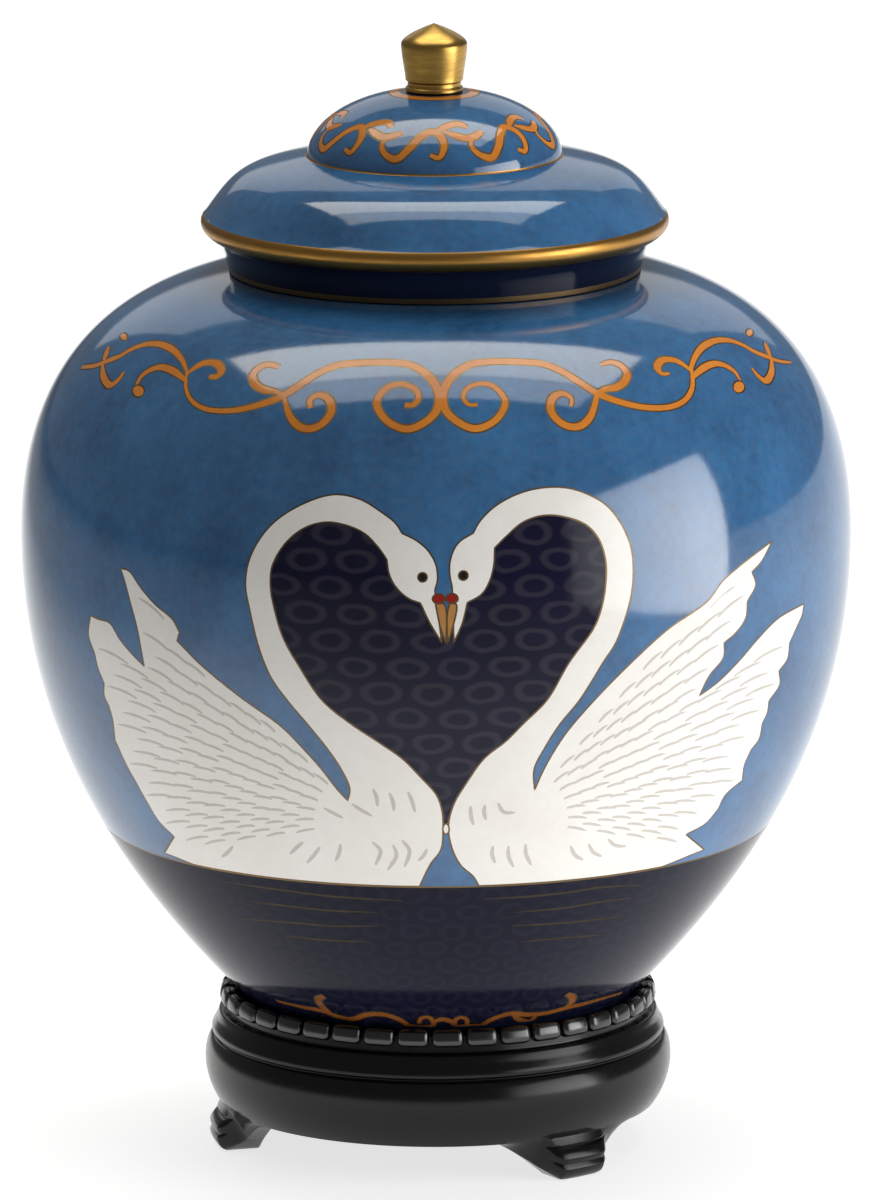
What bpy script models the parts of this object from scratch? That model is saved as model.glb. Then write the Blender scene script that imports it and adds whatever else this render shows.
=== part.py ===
"""Funeral urn: an enamelled copper jar with a lift-off lid, on a carved stand with three feet.

Run it with: blender --background --python part.py
Units are metres and +Z is up. The origin is on the floor, on the axis of the urn, and the front
of the urn faces -Y. Levels are stacked from the floor up, so each piece follows what carries it.
"""

import math

import bmesh
import bpy
from mathutils import Matrix, Vector

MM = 0.001

# Fits between the pieces
SEAT_GAP = 0.3 * MM
SPIGOT_CLEARANCE = 0.5 * MM
SOCKET_CLEARANCE = 1.0 * MM
LIP_CLEARANCE = 0.7 * MM

# Vessel: a spun copper jar, open at the mouth
VESSEL_HEIGHT = 184.6 * MM
BODY_RADIUS = 100.0 * MM
WAIST_HEIGHT = 121.0 * MM
NECK_RADIUS = 49.5 * MM
MOUTH_LAND = 5.0 * MM
FOOT_RADIUS = 46.5 * MM
FOOT_RING_HEIGHT = 7.0 * MM
FOOT_COVE = 2.4 * MM
FOOT_RECESS = 3.0 * MM
VESSEL_WALL = 2.0 * MM
SHOULDER_SLOPE = 9.6
SHOULDER_FULLNESS = 0.525
WAIST_FULLNESS_ABOVE = 0.565
WAIST_FULLNESS_BELOW = 0.397
HEEL_FULLNESS = 0.403
HEEL_SLOPE = 45.6

# Lid: a spun dome with a raised crown, a rolled rim, an undercut skirt and a spigot
LID_WALL = 2.0 * MM
SKIRT_HEIGHT = 13.4 * MM
RIM_OVERHANG = 5.9 * MM
RIM_ROLL = 0.9 * MM
RIM_TUCK = 1.8 * MM
RIM_THICKNESS = 5.0 * MM
RIM_ROLL_SHARES = (0.28, 0.48, 0.74)
DOME_HEIGHT = 14.1 * MM
CROWN_RADIUS = 30.2 * MM
CROWN_HEIGHT = 15.3 * MM
SPIGOT_DEPTH = 8.0 * MM
CROWN_SLOPE = 8.0
CROWN_FULLNESS = 0.60
CROWN_EDGE_SLOPE = 86.0
CROWN_EDGE_FULLNESS = 0.42
DOME_SLOPE = 17.3
DOME_FULLNESS = 0.655
RIM_SLOPE = 62.0
RIM_FULLNESS = 0.71
SKIRT_TOP_SLOPE = 28.0
SKIRT_FOOT_SLOPE = 76.0
SKIRT_FULLNESS = 0.5

# Finial: a turned brass knob on the lid
FINIAL_SEAT_RADIUS = 8.5 * MM
FINIAL_RADIUS = 7.95 * MM
FINIAL_NECK_RADIUS = 6.9 * MM
FINIAL_GROOVE = 0.5 * MM
FINIAL_COLLAR_HEIGHT = 2.6 * MM
FINIAL_FLARE_HEIGHT = 8.6 * MM
FINIAL_TIP_HEIGHT = 5.0 * MM
FINIAL_TIP_SLOPE = 20.0
FINIAL_TIP_FULLNESS = 0.35
FINIAL_WAIST_LEAN = 4.0
FINIAL_SHOULDER_LEAN = 2.0

# Stand: one carved piece, from the floor up
STAND_FEET = 3
STAND_TURN = -50.5
FOOT_HEIGHT = 10.5 * MM
DRUM_HEIGHT = 16.5 * MM
BAND_HEIGHT = 5.9 * MM
BEAD_HEIGHT = 6.5 * MM
SOCKET_DEPTH = 10.0 * MM
SOCKET_WALL_HEIGHT = 6.0 * MM
LIP_WIDTH = 1.0 * MM
BEAD_REACH = 1.9 * MM
BEAD_DIP = 1.6 * MM
BEAD_COUNT = 39
BEAD_COVER = 0.4 * MM
BEAD_ROOT_LIFT = 0.2 * MM
NOTCH_HEIGHT = 0.7 * MM
BAND_REACH = 4.0 * MM
BAND_TOP_INSET = 1.9 * MM
BAND_SLOPE_INSET = 1.2 * MM
DRUM_REACH = 4.3 * MM
DRUM_EDGE_INSET = 0.2 * MM
DRUM_EDGE_DROP = 0.4 * MM
DRUM_BULGE = 2.4 * MM
DRUM_TUCK = 2.2 * MM
GROOVE_DEPTH = 1.0 * MM
PLATE_THICKNESS = 9.5 * MM
SKIRT_THICKNESS = 10.4 * MM
SKIRT_STEP = 1.0 * MM
FOOT_REACH = 2.8 * MM
FOOT_DEPTH = 10.8 * MM
FOOT_ARC = 12.0
FOOT_RAMP_ARC = 18.5
FOOT_RAMP_POWER = 1.15
TOE_FADE_ARC = 6.0
TOE_ROLL_SHARE = 0.39
TOE_ROLL_DEPTH = 3.0 * MM
ANKLE_SHARE = 0.83
ANKLE_DEPTH = 2.0 * MM
APRON_LEAN = 0.3

# Facets
VESSEL_STEPS = 44
LID_STEPS = 36
FINIAL_STEPS = 16
STAND_STEPS = 60

# Levels above the floor
GROOVE_LEVEL = FOOT_HEIGHT + DRUM_HEIGHT
NOTCH_LEVEL = GROOVE_LEVEL + BAND_HEIGHT
STAND_TOP = NOTCH_LEVEL + BEAD_HEIGHT
SEAT_LEVEL = STAND_TOP - SOCKET_DEPTH
VESSEL_BASE = SEAT_LEVEL + SEAT_GAP
WAIST_LEVEL = VESSEL_BASE + WAIST_HEIGHT
VESSEL_TOP = VESSEL_BASE + VESSEL_HEIGHT
LID_BASE = VESSEL_TOP + SEAT_GAP
RIM_LEVEL = LID_BASE + SKIRT_HEIGHT
CROWN_LEVEL = RIM_LEVEL + DOME_HEIGHT
LID_TOP = CROWN_LEVEL + CROWN_HEIGHT
FINIAL_BASE = LID_TOP + SEAT_GAP


def heading(degrees):
    """Unit step in the profile plane, outwards and this many degrees below level."""
    angle = math.radians(degrees)
    return Vector((math.cos(angle), -math.sin(angle)))


def bezier(start, start_handle, end_handle, end, steps):
    """Points of a cubic curve in the profile plane, both ends included."""
    points = []
    for step in range(steps + 1):
        t = step / steps
        u = 1.0 - t
        points.append(u**3 * start + 3 * u * u * t * start_handle + 3 * u * t * t * end_handle + t**3 * end)
    return points


def inside_of(sheet, wall):
    """The line one wall inside a sheet-metal profile that runs down its outer side."""
    normals = []
    for here, there in zip(sheet, sheet[1:]):
        run = (there - here).normalized()
        normals.append(Vector((run.y, -run.x)))
    inside = []
    for index, point in enumerate(sheet):
        before = normals[max(index - 1, 0)]
        after = normals[min(index, len(normals) - 1)]
        middle = (before + after).normalized()
        inside.append(point + middle * wall / middle.dot(after))
    return inside


def radius_at(profile, level):
    """Radius where a profile that runs downwards crosses a level."""
    for high, low in zip(profile, profile[1:]):
        if high.y >= level > low.y:
            return high.lerp(low, (high.y - level) / (high.y - low.y)).x
    return profile[-1].x


def finish(name, color, roughness, metallic):
    """A Principled material with the piece's plain colour."""
    material = bpy.data.materials.new(name)
    material.use_nodes = True
    shader = material.node_tree.nodes["Principled BSDF"]
    shader.inputs["Base Color"].default_value = (*color, 1.0)
    shader.inputs["Roughness"].default_value = roughness
    shader.inputs["Metallic"].default_value = metallic
    return material


def place(name, mesh, material, collection):
    """Put a mesh in the scene as a named object with its material."""
    item = bpy.data.objects.new(name, mesh)
    item.data.materials.append(material)
    collection.objects.link(item)
    return item


def turned(name, profile, steps, material, collection):
    """Turn a profile that starts and ends on the axis, outer side downwards, about +Z."""
    mesh = bpy.data.meshes.new(name)
    rows = [(point.x, 0.0, point.y) for point in profile]
    mesh.from_pydata(rows, [(row, row + 1) for row in range(len(rows) - 1)], [])
    item = place(name, mesh, material, collection)
    screw = item.modifiers.new("Turn", "SCREW")
    screw.angle = math.tau
    screw.steps = steps
    screw.render_steps = steps
    screw.use_merge_vertices = True
    screw.merge_threshold = 0.01 * MM
    screw.use_smooth_shade = True
    return item


def ring_of(name, sections, closed_section, material, collection):
    """Join sections, spaced evenly about +Z, into one ring-shaped or turned solid."""
    form = bmesh.new()
    rings = []
    for index, section in enumerate(sections):
        turn = Matrix.Rotation(math.tau * index / len(sections), 3, "Z")
        rings.append([form.verts.new(turn @ Vector((point.x, 0.0, point.y))) for point in section])
    rows = len(sections[0])
    spans = rows if closed_section else rows - 1
    for here, there in zip(rings, rings[1:] + rings[:1]):
        for row in range(spans):
            below = (row + 1) % rows
            form.faces.new((here[row], here[below], there[below], there[row]))
    bmesh.ops.remove_doubles(form, verts=form.verts, dist=0.01 * MM)
    mesh = bpy.data.meshes.new(name)
    form.to_mesh(mesh)
    form.free()
    mesh.shade_smooth()
    mesh.set_sharp_from_angle(angle=math.radians(30.0))
    return place(name, mesh, material, collection)


def vessel_sheet(shoulder_steps, belly_steps):
    """The vessel's copper as one line: mouth edge, neck, shoulder, belly and foot ring."""
    neck = Vector((NECK_RADIUS, VESSEL_TOP))
    waist = Vector((BODY_RADIUS, WAIST_LEVEL))
    foot_top = VESSEL_BASE + FOOT_RING_HEIGHT
    heel = Vector((FOOT_RADIUS + FOOT_COVE, foot_top + FOOT_COVE))
    upper = VESSEL_TOP - WAIST_LEVEL
    lower = WAIST_LEVEL - heel.y
    down = heading(90.0)
    shoulder = bezier(
        neck,
        neck + heading(SHOULDER_SLOPE) * upper * SHOULDER_FULLNESS,
        waist - down * upper * WAIST_FULLNESS_ABOVE,
        waist,
        shoulder_steps,
    )
    belly = bezier(
        waist,
        waist + down * lower * WAIST_FULLNESS_BELOW,
        heel + heading(-HEEL_SLOPE) * lower * HEEL_FULLNESS,
        heel,
        belly_steps,
    )
    mouth = Vector((NECK_RADIUS - MOUTH_LAND, VESSEL_TOP))
    foot = [Vector((FOOT_RADIUS, foot_top)), Vector((FOOT_RADIUS, VESSEL_BASE))]
    return [mouth] + shoulder + belly[1:] + foot


def vessel(material, collection):
    """Hollow jar with a flat mouth, a foot ring and a floor above the ring's recess."""
    outside = vessel_sheet(7, 8)
    inside = inside_of(vessel_sheet(4, 5), VESSEL_WALL)
    floor_level = VESSEL_BASE + FOOT_RECESS + VESSEL_WALL
    ring_inside = FOOT_RADIUS - VESSEL_WALL
    cavity = [Vector((0.0, floor_level)), Vector((ring_inside, floor_level))] + inside[-2::-1]
    underside = [
        Vector((ring_inside, VESSEL_BASE)),
        Vector((ring_inside, VESSEL_BASE + FOOT_RECESS)),
        Vector((0.0, VESSEL_BASE + FOOT_RECESS)),
    ]
    return turned("vessel", cavity + outside + underside, VESSEL_STEPS, material, collection)


def lid_sheet(crown_steps, dome_steps, skirt_steps, rim):
    """The lid's copper as one line: crown, dome, rim, undercut skirt, seat and spigot."""
    crown_edge = Vector((CROWN_RADIUS, CROWN_LEVEL))
    rim_edge = Vector((NECK_RADIUS + RIM_OVERHANG, RIM_LEVEL))
    seat_edge = Vector((NECK_RADIUS, LID_BASE))
    crown_top = Vector((FINIAL_SEAT_RADIUS, LID_TOP))
    crown = bezier(
        crown_top,
        crown_top + heading(CROWN_SLOPE) * CROWN_FULLNESS * (CROWN_RADIUS - FINIAL_SEAT_RADIUS),
        crown_edge - heading(CROWN_EDGE_SLOPE) * CROWN_EDGE_FULLNESS * CROWN_HEIGHT,
        crown_edge,
        crown_steps,
    )
    dome = bezier(
        crown_edge,
        crown_edge + heading(DOME_SLOPE) * DOME_FULLNESS * (rim_edge.x - CROWN_RADIUS),
        rim_edge - heading(RIM_SLOPE) * RIM_FULLNESS * DOME_HEIGHT,
        rim_edge,
        dome_steps,
    )
    under_rim = rim_edge - Vector((RIM_TUCK, RIM_THICKNESS))
    skirt = bezier(
        under_rim,
        under_rim - heading(-SKIRT_TOP_SLOPE) * SKIRT_FULLNESS * RIM_OVERHANG,
        seat_edge + heading(-SKIRT_FOOT_SLOPE) * SKIRT_FULLNESS * SKIRT_HEIGHT,
        seat_edge,
        skirt_steps,
    )
    spigot_radius = NECK_RADIUS - MOUTH_LAND - SPIGOT_CLEARANCE
    spigot = [Vector((spigot_radius, LID_BASE)), Vector((spigot_radius, LID_BASE - SPIGOT_DEPTH))]
    return crown + dome[1:-1] + rim + skirt[1:] + spigot


def lid(material, collection):
    """Hollow lid that drops into the vessel's mouth, flat on top where the finial stands."""
    rim_radius = NECK_RADIUS + RIM_OVERHANG
    high, middle, low = RIM_ROLL_SHARES
    rolled_rim = [
        Vector((rim_radius, RIM_LEVEL)),
        Vector((rim_radius + RIM_ROLL, RIM_LEVEL - high * RIM_THICKNESS)),
        Vector((rim_radius + RIM_ROLL, RIM_LEVEL - middle * RIM_THICKNESS)),
        Vector((rim_radius, RIM_LEVEL - low * RIM_THICKNESS)),
        Vector((rim_radius - RIM_TUCK, RIM_LEVEL - RIM_THICKNESS)),
    ]
    plain_rim = [Vector((rim_radius + 0.5 * RIM_ROLL, RIM_LEVEL - 0.4 * RIM_THICKNESS))]
    outside = [Vector((0.0, LID_TOP))] + lid_sheet(4, 5, 3, rolled_rim)
    inside = inside_of(lid_sheet(3, 4, 2, plain_rim), LID_WALL)
    hollow = inside[::-1] + [Vector((0.0, LID_TOP - LID_WALL))]
    return turned("lid", outside + hollow, LID_STEPS, material, collection)


def finial(material, collection):
    """Turned knob: a grooved collar, a flared drum and a low pointed top."""
    collar_top = FINIAL_BASE + FINIAL_COLLAR_HEIGHT
    shoulder_level = collar_top + FINIAL_FLARE_HEIGHT
    groove_radius = FINIAL_NECK_RADIUS - FINIAL_GROOVE
    neck = Vector((FINIAL_NECK_RADIUS, collar_top))
    shoulder = Vector((FINIAL_RADIUS, shoulder_level))
    tip = Vector((0.0, shoulder_level + FINIAL_TIP_HEIGHT))
    point = bezier(
        tip,
        tip + heading(FINIAL_TIP_SLOPE) * FINIAL_TIP_FULLNESS * FINIAL_RADIUS,
        shoulder + Vector((0.0, FINIAL_TIP_FULLNESS * FINIAL_TIP_HEIGHT)),
        shoulder,
        4,
    )
    flare = bezier(
        shoulder,
        shoulder + heading(90.0 + FINIAL_SHOULDER_LEAN) * 0.4 * FINIAL_FLARE_HEIGHT,
        neck - heading(90.0 + FINIAL_WAIST_LEAN) * 0.3 * FINIAL_FLARE_HEIGHT,
        neck,
        3,
    )
    collar = [
        Vector((groove_radius, collar_top - 0.15 * FINIAL_COLLAR_HEIGHT)),
        Vector((groove_radius, collar_top - 0.55 * FINIAL_COLLAR_HEIGHT)),
        Vector((FINIAL_NECK_RADIUS, collar_top - 0.7 * FINIAL_COLLAR_HEIGHT)),
        Vector((FINIAL_NECK_RADIUS, FINIAL_BASE)),
        Vector((0.0, FINIAL_BASE)),
    ]
    return turned("lid_finial", point + flare[1:] + collar, FINIAL_STEPS, material, collection)


def stand_radii():
    """Radii of the stand that follow from the vessel it carries: socket, lip and core."""
    lip = radius_at(vessel_sheet(7, 8)[1:], STAND_TOP) + LIP_CLEARANCE
    return FOOT_RADIUS + SOCKET_CLEARANCE, lip, lip + LIP_WIDTH


def foot_line(edge_radius, share, toe):
    """Outer line below the apron's edge: share is 1 on a foot and 0 between, toe rolls it out."""
    reach = edge_radius + FOOT_REACH
    roll_height = TOE_ROLL_SHARE * FOOT_HEIGHT
    center = Vector((reach - TOE_ROLL_DEPTH, roll_height))
    on_foot = [Vector((reach - ANKLE_DEPTH, ANKLE_SHARE * FOOT_HEIGHT))]
    for turn in (-60.0, 0.0, 60.0, 90.0):
        spoke = heading(turn)
        on_foot.append(center + Vector((spoke.x * TOE_ROLL_DEPTH, spoke.y * roll_height)))
    low = FOOT_HEIGHT * (1.0 - share)
    line = []
    for point in on_foot:
        plain = edge_radius - APRON_LEAN * (FOOT_HEIGHT - point.y)
        line.append(Vector((plain + (point.x - plain) * toe, low + point.y * share)))
    return line


def stand_section(share, toe):
    """Half section of the stand, from the axis on top, down the outside, to the axis below."""
    socket, lip, core = stand_radii()
    core_top = STAND_TOP - BEAD_DIP - BEAD_COVER
    drum = core + DRUM_REACH
    edge = drum - DRUM_TUCK
    band = core + BAND_REACH
    top = [
        Vector((0.0, SEAT_LEVEL)),
        Vector((socket, SEAT_LEVEL)),
        Vector((socket, SEAT_LEVEL + SOCKET_WALL_HEIGHT)),
        Vector((lip, core_top)),
        Vector((core, core_top)),
        Vector((core, NOTCH_LEVEL)),
        Vector((band - BAND_TOP_INSET, NOTCH_LEVEL)),
        Vector((band - BAND_SLOPE_INSET, NOTCH_LEVEL - 0.35 * BAND_HEIGHT)),
        Vector((band, GROOVE_LEVEL + 0.3 * BAND_HEIGHT)),
        Vector((band, GROOVE_LEVEL + 0.1 * BAND_HEIGHT)),
        Vector((band - GROOVE_DEPTH, GROOVE_LEVEL)),
    ]
    barrel = bezier(
        Vector((drum - DRUM_EDGE_INSET, GROOVE_LEVEL - DRUM_EDGE_DROP)),
        Vector((drum + DRUM_BULGE, GROOVE_LEVEL - 0.23 * DRUM_HEIGHT)),
        Vector((drum + 0.7 * DRUM_BULGE, FOOT_HEIGHT + 0.32 * DRUM_HEIGHT)),
        Vector((edge, FOOT_HEIGHT)),
        5,
    )
    low = FOOT_HEIGHT * (1.0 - share)
    inner = edge - SKIRT_THICKNESS
    heel = edge + FOOT_REACH - FOOT_DEPTH
    under_level = SEAT_LEVEL - PLATE_THICKNESS
    underside = [
        Vector((heel, low)),
        Vector((inner, FOOT_HEIGHT + SKIRT_STEP)),
        Vector((inner, under_level)),
        Vector((0.0, under_level)),
    ]
    return top + barrel + foot_line(edge, share, toe) + underside


def bead_section(dip):
    """Closed section of the bead row, lowered and drawn in by dip between two beads."""
    core = stand_radii()[2]
    low = NOTCH_LEVEL + NOTCH_HEIGHT
    height = STAND_TOP - low - dip
    reach = BEAD_REACH - 0.6 * dip
    inner = core - 0.6 * LIP_WIDTH
    return [
        Vector((inner, low + BEAD_ROOT_LIFT)),
        Vector((inner, low + 0.86 * height)),
        Vector((core, low + height)),
        Vector((core + 0.6 * reach, low + 0.82 * height)),
        Vector((core + reach, low + 0.35 * height)),
        Vector((core + reach, low)),
    ]


def stand(material, collection, helpers):
    """Carved stand: socket, bead row, band, drum and an apron that runs down into the feet."""
    pitch = 360.0 / STAND_FEET
    sections = []
    for step in range(STAND_STEPS):
        angle = 360.0 * step / STAND_STEPS
        away = abs((angle + pitch / 2.0) % pitch - pitch / 2.0)
        ramp = (FOOT_ARC / 2.0 + FOOT_RAMP_ARC - away) / FOOT_RAMP_ARC
        fade = (FOOT_ARC / 2.0 + TOE_FADE_ARC - away) / TOE_FADE_ARC
        sections.append(stand_section(min(max(ramp, 0.0), 1.0) ** FOOT_RAMP_POWER, min(max(fade, 0.0), 1.0)))
    item = ring_of("stand", sections, False, material, collection)
    bead_sections = [bead_section(BEAD_DIP if step % 3 == 0 else 0.0) for step in range(3 * BEAD_COUNT)]
    beads = ring_of("stand_bead_row", bead_sections, True, material, helpers)
    beads.hide_render = True
    beads.display_type = "WIRE"
    union = item.modifiers.new("Bead row", "BOOLEAN")
    union.operation = "UNION"
    union.object = beads
    return item


def build():
    """Clear the scene and model the urn's four pieces."""
    for old in list(bpy.data.objects):
        bpy.data.objects.remove(old, do_unlink=True)
    urn = bpy.data.collections.new("funeral_urn")
    helpers = bpy.data.collections.new("urn_helpers")
    bpy.context.scene.collection.children.link(urn)
    bpy.context.scene.collection.children.link(helpers)
    blue_enamel = finish("blue_enamel", (0.047, 0.156, 0.342), 0.22, 0.0)
    lid_enamel = finish("lid_enamel", (0.047, 0.156, 0.342), 0.22, 0.0)
    brass = finish("polished_brass", (0.58, 0.40, 0.13), 0.28, 1.0)
    lacquer = finish("black_lacquer", (0.010, 0.009, 0.010), 0.30, 0.0)
    vessel(blue_enamel, urn)
    lid(lid_enamel, urn)
    finial(brass, urn)
    carved = stand(lacquer, urn, helpers)
    for item in (carved, helpers.objects["stand_bead_row"]):
        item.rotation_euler.z = math.radians(STAND_TURN)


build()
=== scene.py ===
"""Looks of the funeral urn: fired enamel on copper, gilt wires, a brass knob and a lacquered stand.

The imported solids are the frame. Each class below makes one piece over them, and main() runs the
classes in order. Lengths are in metres, and heights stand above the floor under the urn's axis.
"""

import logging
import math
from dataclasses import dataclass, field
from enum import Enum
from typing import Iterable, Sequence

import bpy
import numpy as np
from mathutils import Matrix, Vector, geometry

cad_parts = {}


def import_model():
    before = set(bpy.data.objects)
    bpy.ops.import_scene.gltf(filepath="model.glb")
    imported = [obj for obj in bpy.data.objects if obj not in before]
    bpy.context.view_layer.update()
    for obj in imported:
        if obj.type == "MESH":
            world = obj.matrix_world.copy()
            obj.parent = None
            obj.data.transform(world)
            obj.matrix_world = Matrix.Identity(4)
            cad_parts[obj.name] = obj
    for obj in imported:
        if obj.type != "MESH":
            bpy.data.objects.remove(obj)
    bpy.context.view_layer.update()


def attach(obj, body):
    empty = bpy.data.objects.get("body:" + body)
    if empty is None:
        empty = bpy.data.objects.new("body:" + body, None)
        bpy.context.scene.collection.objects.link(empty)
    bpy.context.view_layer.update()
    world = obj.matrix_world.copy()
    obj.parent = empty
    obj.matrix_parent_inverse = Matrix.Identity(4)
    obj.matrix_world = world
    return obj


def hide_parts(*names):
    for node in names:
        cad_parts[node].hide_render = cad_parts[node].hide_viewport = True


LOG = logging.getLogger("urn")

MM = 0.001
TURN = math.tau
FRONT = -math.pi / 2.0

Spot = tuple[float, float]
Strokes = tuple[tuple[Spot, ...], ...]

SEAM = math.radians(100.0)
WIRE_WIDTH = 0.42 * MM


class Tone(Enum):
    """What a cell of the enamelled sheets is filled with. The value is its material slot."""

    BLUE = 0
    NAVY = 1
    NIGHT = 2
    WHITE = 3
    ORANGE = 4
    RED = 5
    HORN = 6
    EYE = 7
    WIRE = 8
    THREAD = 9
    GILT = 10
    LINING = 11
    BRASS = 12
    LACQUER = 13
    BEAD = 14
    RUST = 15
    NECK = 16
    RIPPLE = 17


def linear(code: str) -> tuple[float, float, float, float]:
    """Turn an sRGB hex colour into the linear colour that a shader takes.

    Args:
        code: six hex digits after a hash sign.

    Returns:
        Linear red, green, blue and an alpha of 1.
    """
    shares = [int(code[place : place + 2], 16) / 255.0 for place in (1, 3, 5)]
    red, green, blue = (
        share / 12.92 if share <= 0.04045 else ((share + 0.055) / 1.055) ** 2.4 for share in shares
    )
    return red, green, blue, 1.0


def add_node(tree: bpy.types.NodeTree, kind: str, settings: dict, **links: object) -> bpy.types.Node:
    """Add one node, set its properties and fill or link its inputs.

    Args:
        tree: the material's node tree.
        kind: the node's type name in Blender.
        settings: properties of the node itself.
        links: values or output sockets, by input name with spaces as underscores, or by in0, in1
            and so on for inputs that share a name.

    Returns:
        The new node.
    """
    node = tree.nodes.new(kind)
    for name, value in settings.items():
        setattr(node, name, value)
    for name, value in links.items():
        socket = node.inputs[int(name[2:])] if name[:2] == "in" and name[2:].isdigit() else None
        socket = socket or node.inputs[name.replace("_", " ")]
        if isinstance(value, bpy.types.NodeSocket):
            tree.links.new(value, socket)
        else:
            socket.default_value = value
    return node


def new_shader(name: str) -> tuple[bpy.types.Material, bpy.types.NodeTree, bpy.types.Node]:
    """Start a material with a bare Principled shader.

    Args:
        name: the material's name.

    Returns:
        The material, its node tree and its Principled node.
    """
    material = bpy.data.materials.new(name)
    material.use_nodes = True
    tree = material.node_tree
    tree.nodes.clear()
    shader = add_node(tree, "ShaderNodeBsdfPrincipled", {})
    add_node(tree, "ShaderNodeOutputMaterial", {}, Surface=shader.outputs["BSDF"])
    return material, tree, shader


def object_place(tree: bpy.types.NodeTree) -> bpy.types.NodeSocket:
    """Give the place on the object, in metres."""
    return add_node(tree, "ShaderNodeTexCoord", {}).outputs["Object"]


def squeezed(tree: bpy.types.NodeTree, scale: tuple[float, float, float]) -> bpy.types.NodeSocket:
    """Give the place on the object with each axis scaled."""
    place = object_place(tree)
    node = add_node(tree, "ShaderNodeMapping", {"vector_type": "POINT"}, Vector=place, Scale=scale)
    return node.outputs["Vector"]


def noise(
    tree: bpy.types.NodeTree,
    place: bpy.types.NodeSocket,
    size: float,
    detail: float,
    roughness: float = 0.5,
) -> bpy.types.Node:
    """Add cloudy noise.

    Args:
        tree: the material's node tree.
        place: where the noise is read.
        size: real size of its clouds.
        detail: octaves.
        roughness: share of each octave that the next one keeps.

    Returns:
        The noise node.
    """
    settings = {"Scale": 1.0 / size, "Detail": detail, "Roughness": roughness}
    return add_node(tree, "ShaderNodeTexNoise", {}, Vector=place, **settings)


def blended(
    tree: bpy.types.NodeTree, share: bpy.types.NodeSocket, first: object, second: object
) -> bpy.types.NodeSocket:
    """Mix two colours by a share."""
    kind = {"data_type": "RGBA"}
    return add_node(tree, "ShaderNodeMix", kind, in0=share, in6=first, in7=second).outputs[2]


def ranged(
    tree: bpy.types.NodeTree,
    value: bpy.types.NodeSocket,
    given: Spot,
    wanted: Spot = (0.0, 1.0),
    curve: str = "LINEAR",
) -> bpy.types.NodeSocket:
    """Carry a value from one range to another.

    Args:
        tree: the material's node tree.
        value: the value.
        given: the range that it comes in.
        wanted: the range that it leaves in.
        curve: the step's interpolation in Blender.

    Returns:
        The new value's socket.
    """
    ends = {"From_Min": given[0], "From_Max": given[1], "To_Min": wanted[0], "To_Max": wanted[1]}
    kind = {"interpolation_type": curve}
    return add_node(tree, "ShaderNodeMapRange", kind, Value=value, **ends).outputs["Result"]


def sunk(
    tree: bpy.types.NodeTree, height: bpy.types.NodeSocket, strength: float, depth: float
) -> bpy.types.NodeSocket:
    """Turn a height into a slight relief's normal."""
    node = add_node(tree, "ShaderNodeBump", {}, Height=height, Strength=strength, Distance=depth)
    return node.outputs["Normal"]


def worked(
    tree: bpy.types.NodeTree,
    operation: str,
    first: bpy.types.NodeSocket | float,
    second: bpy.types.NodeSocket | float = 0.0,
) -> bpy.types.NodeSocket:
    """Add one step of arithmetic.

    Args:
        tree: the material's node tree.
        operation: the step's name in Blender.
        first: left value or socket.
        second: right value or socket, for steps that take two.

    Returns:
        The step's output socket.
    """
    return add_node(tree, "ShaderNodeMath", {"operation": operation}, in0=first, in1=second).outputs[0]


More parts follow.
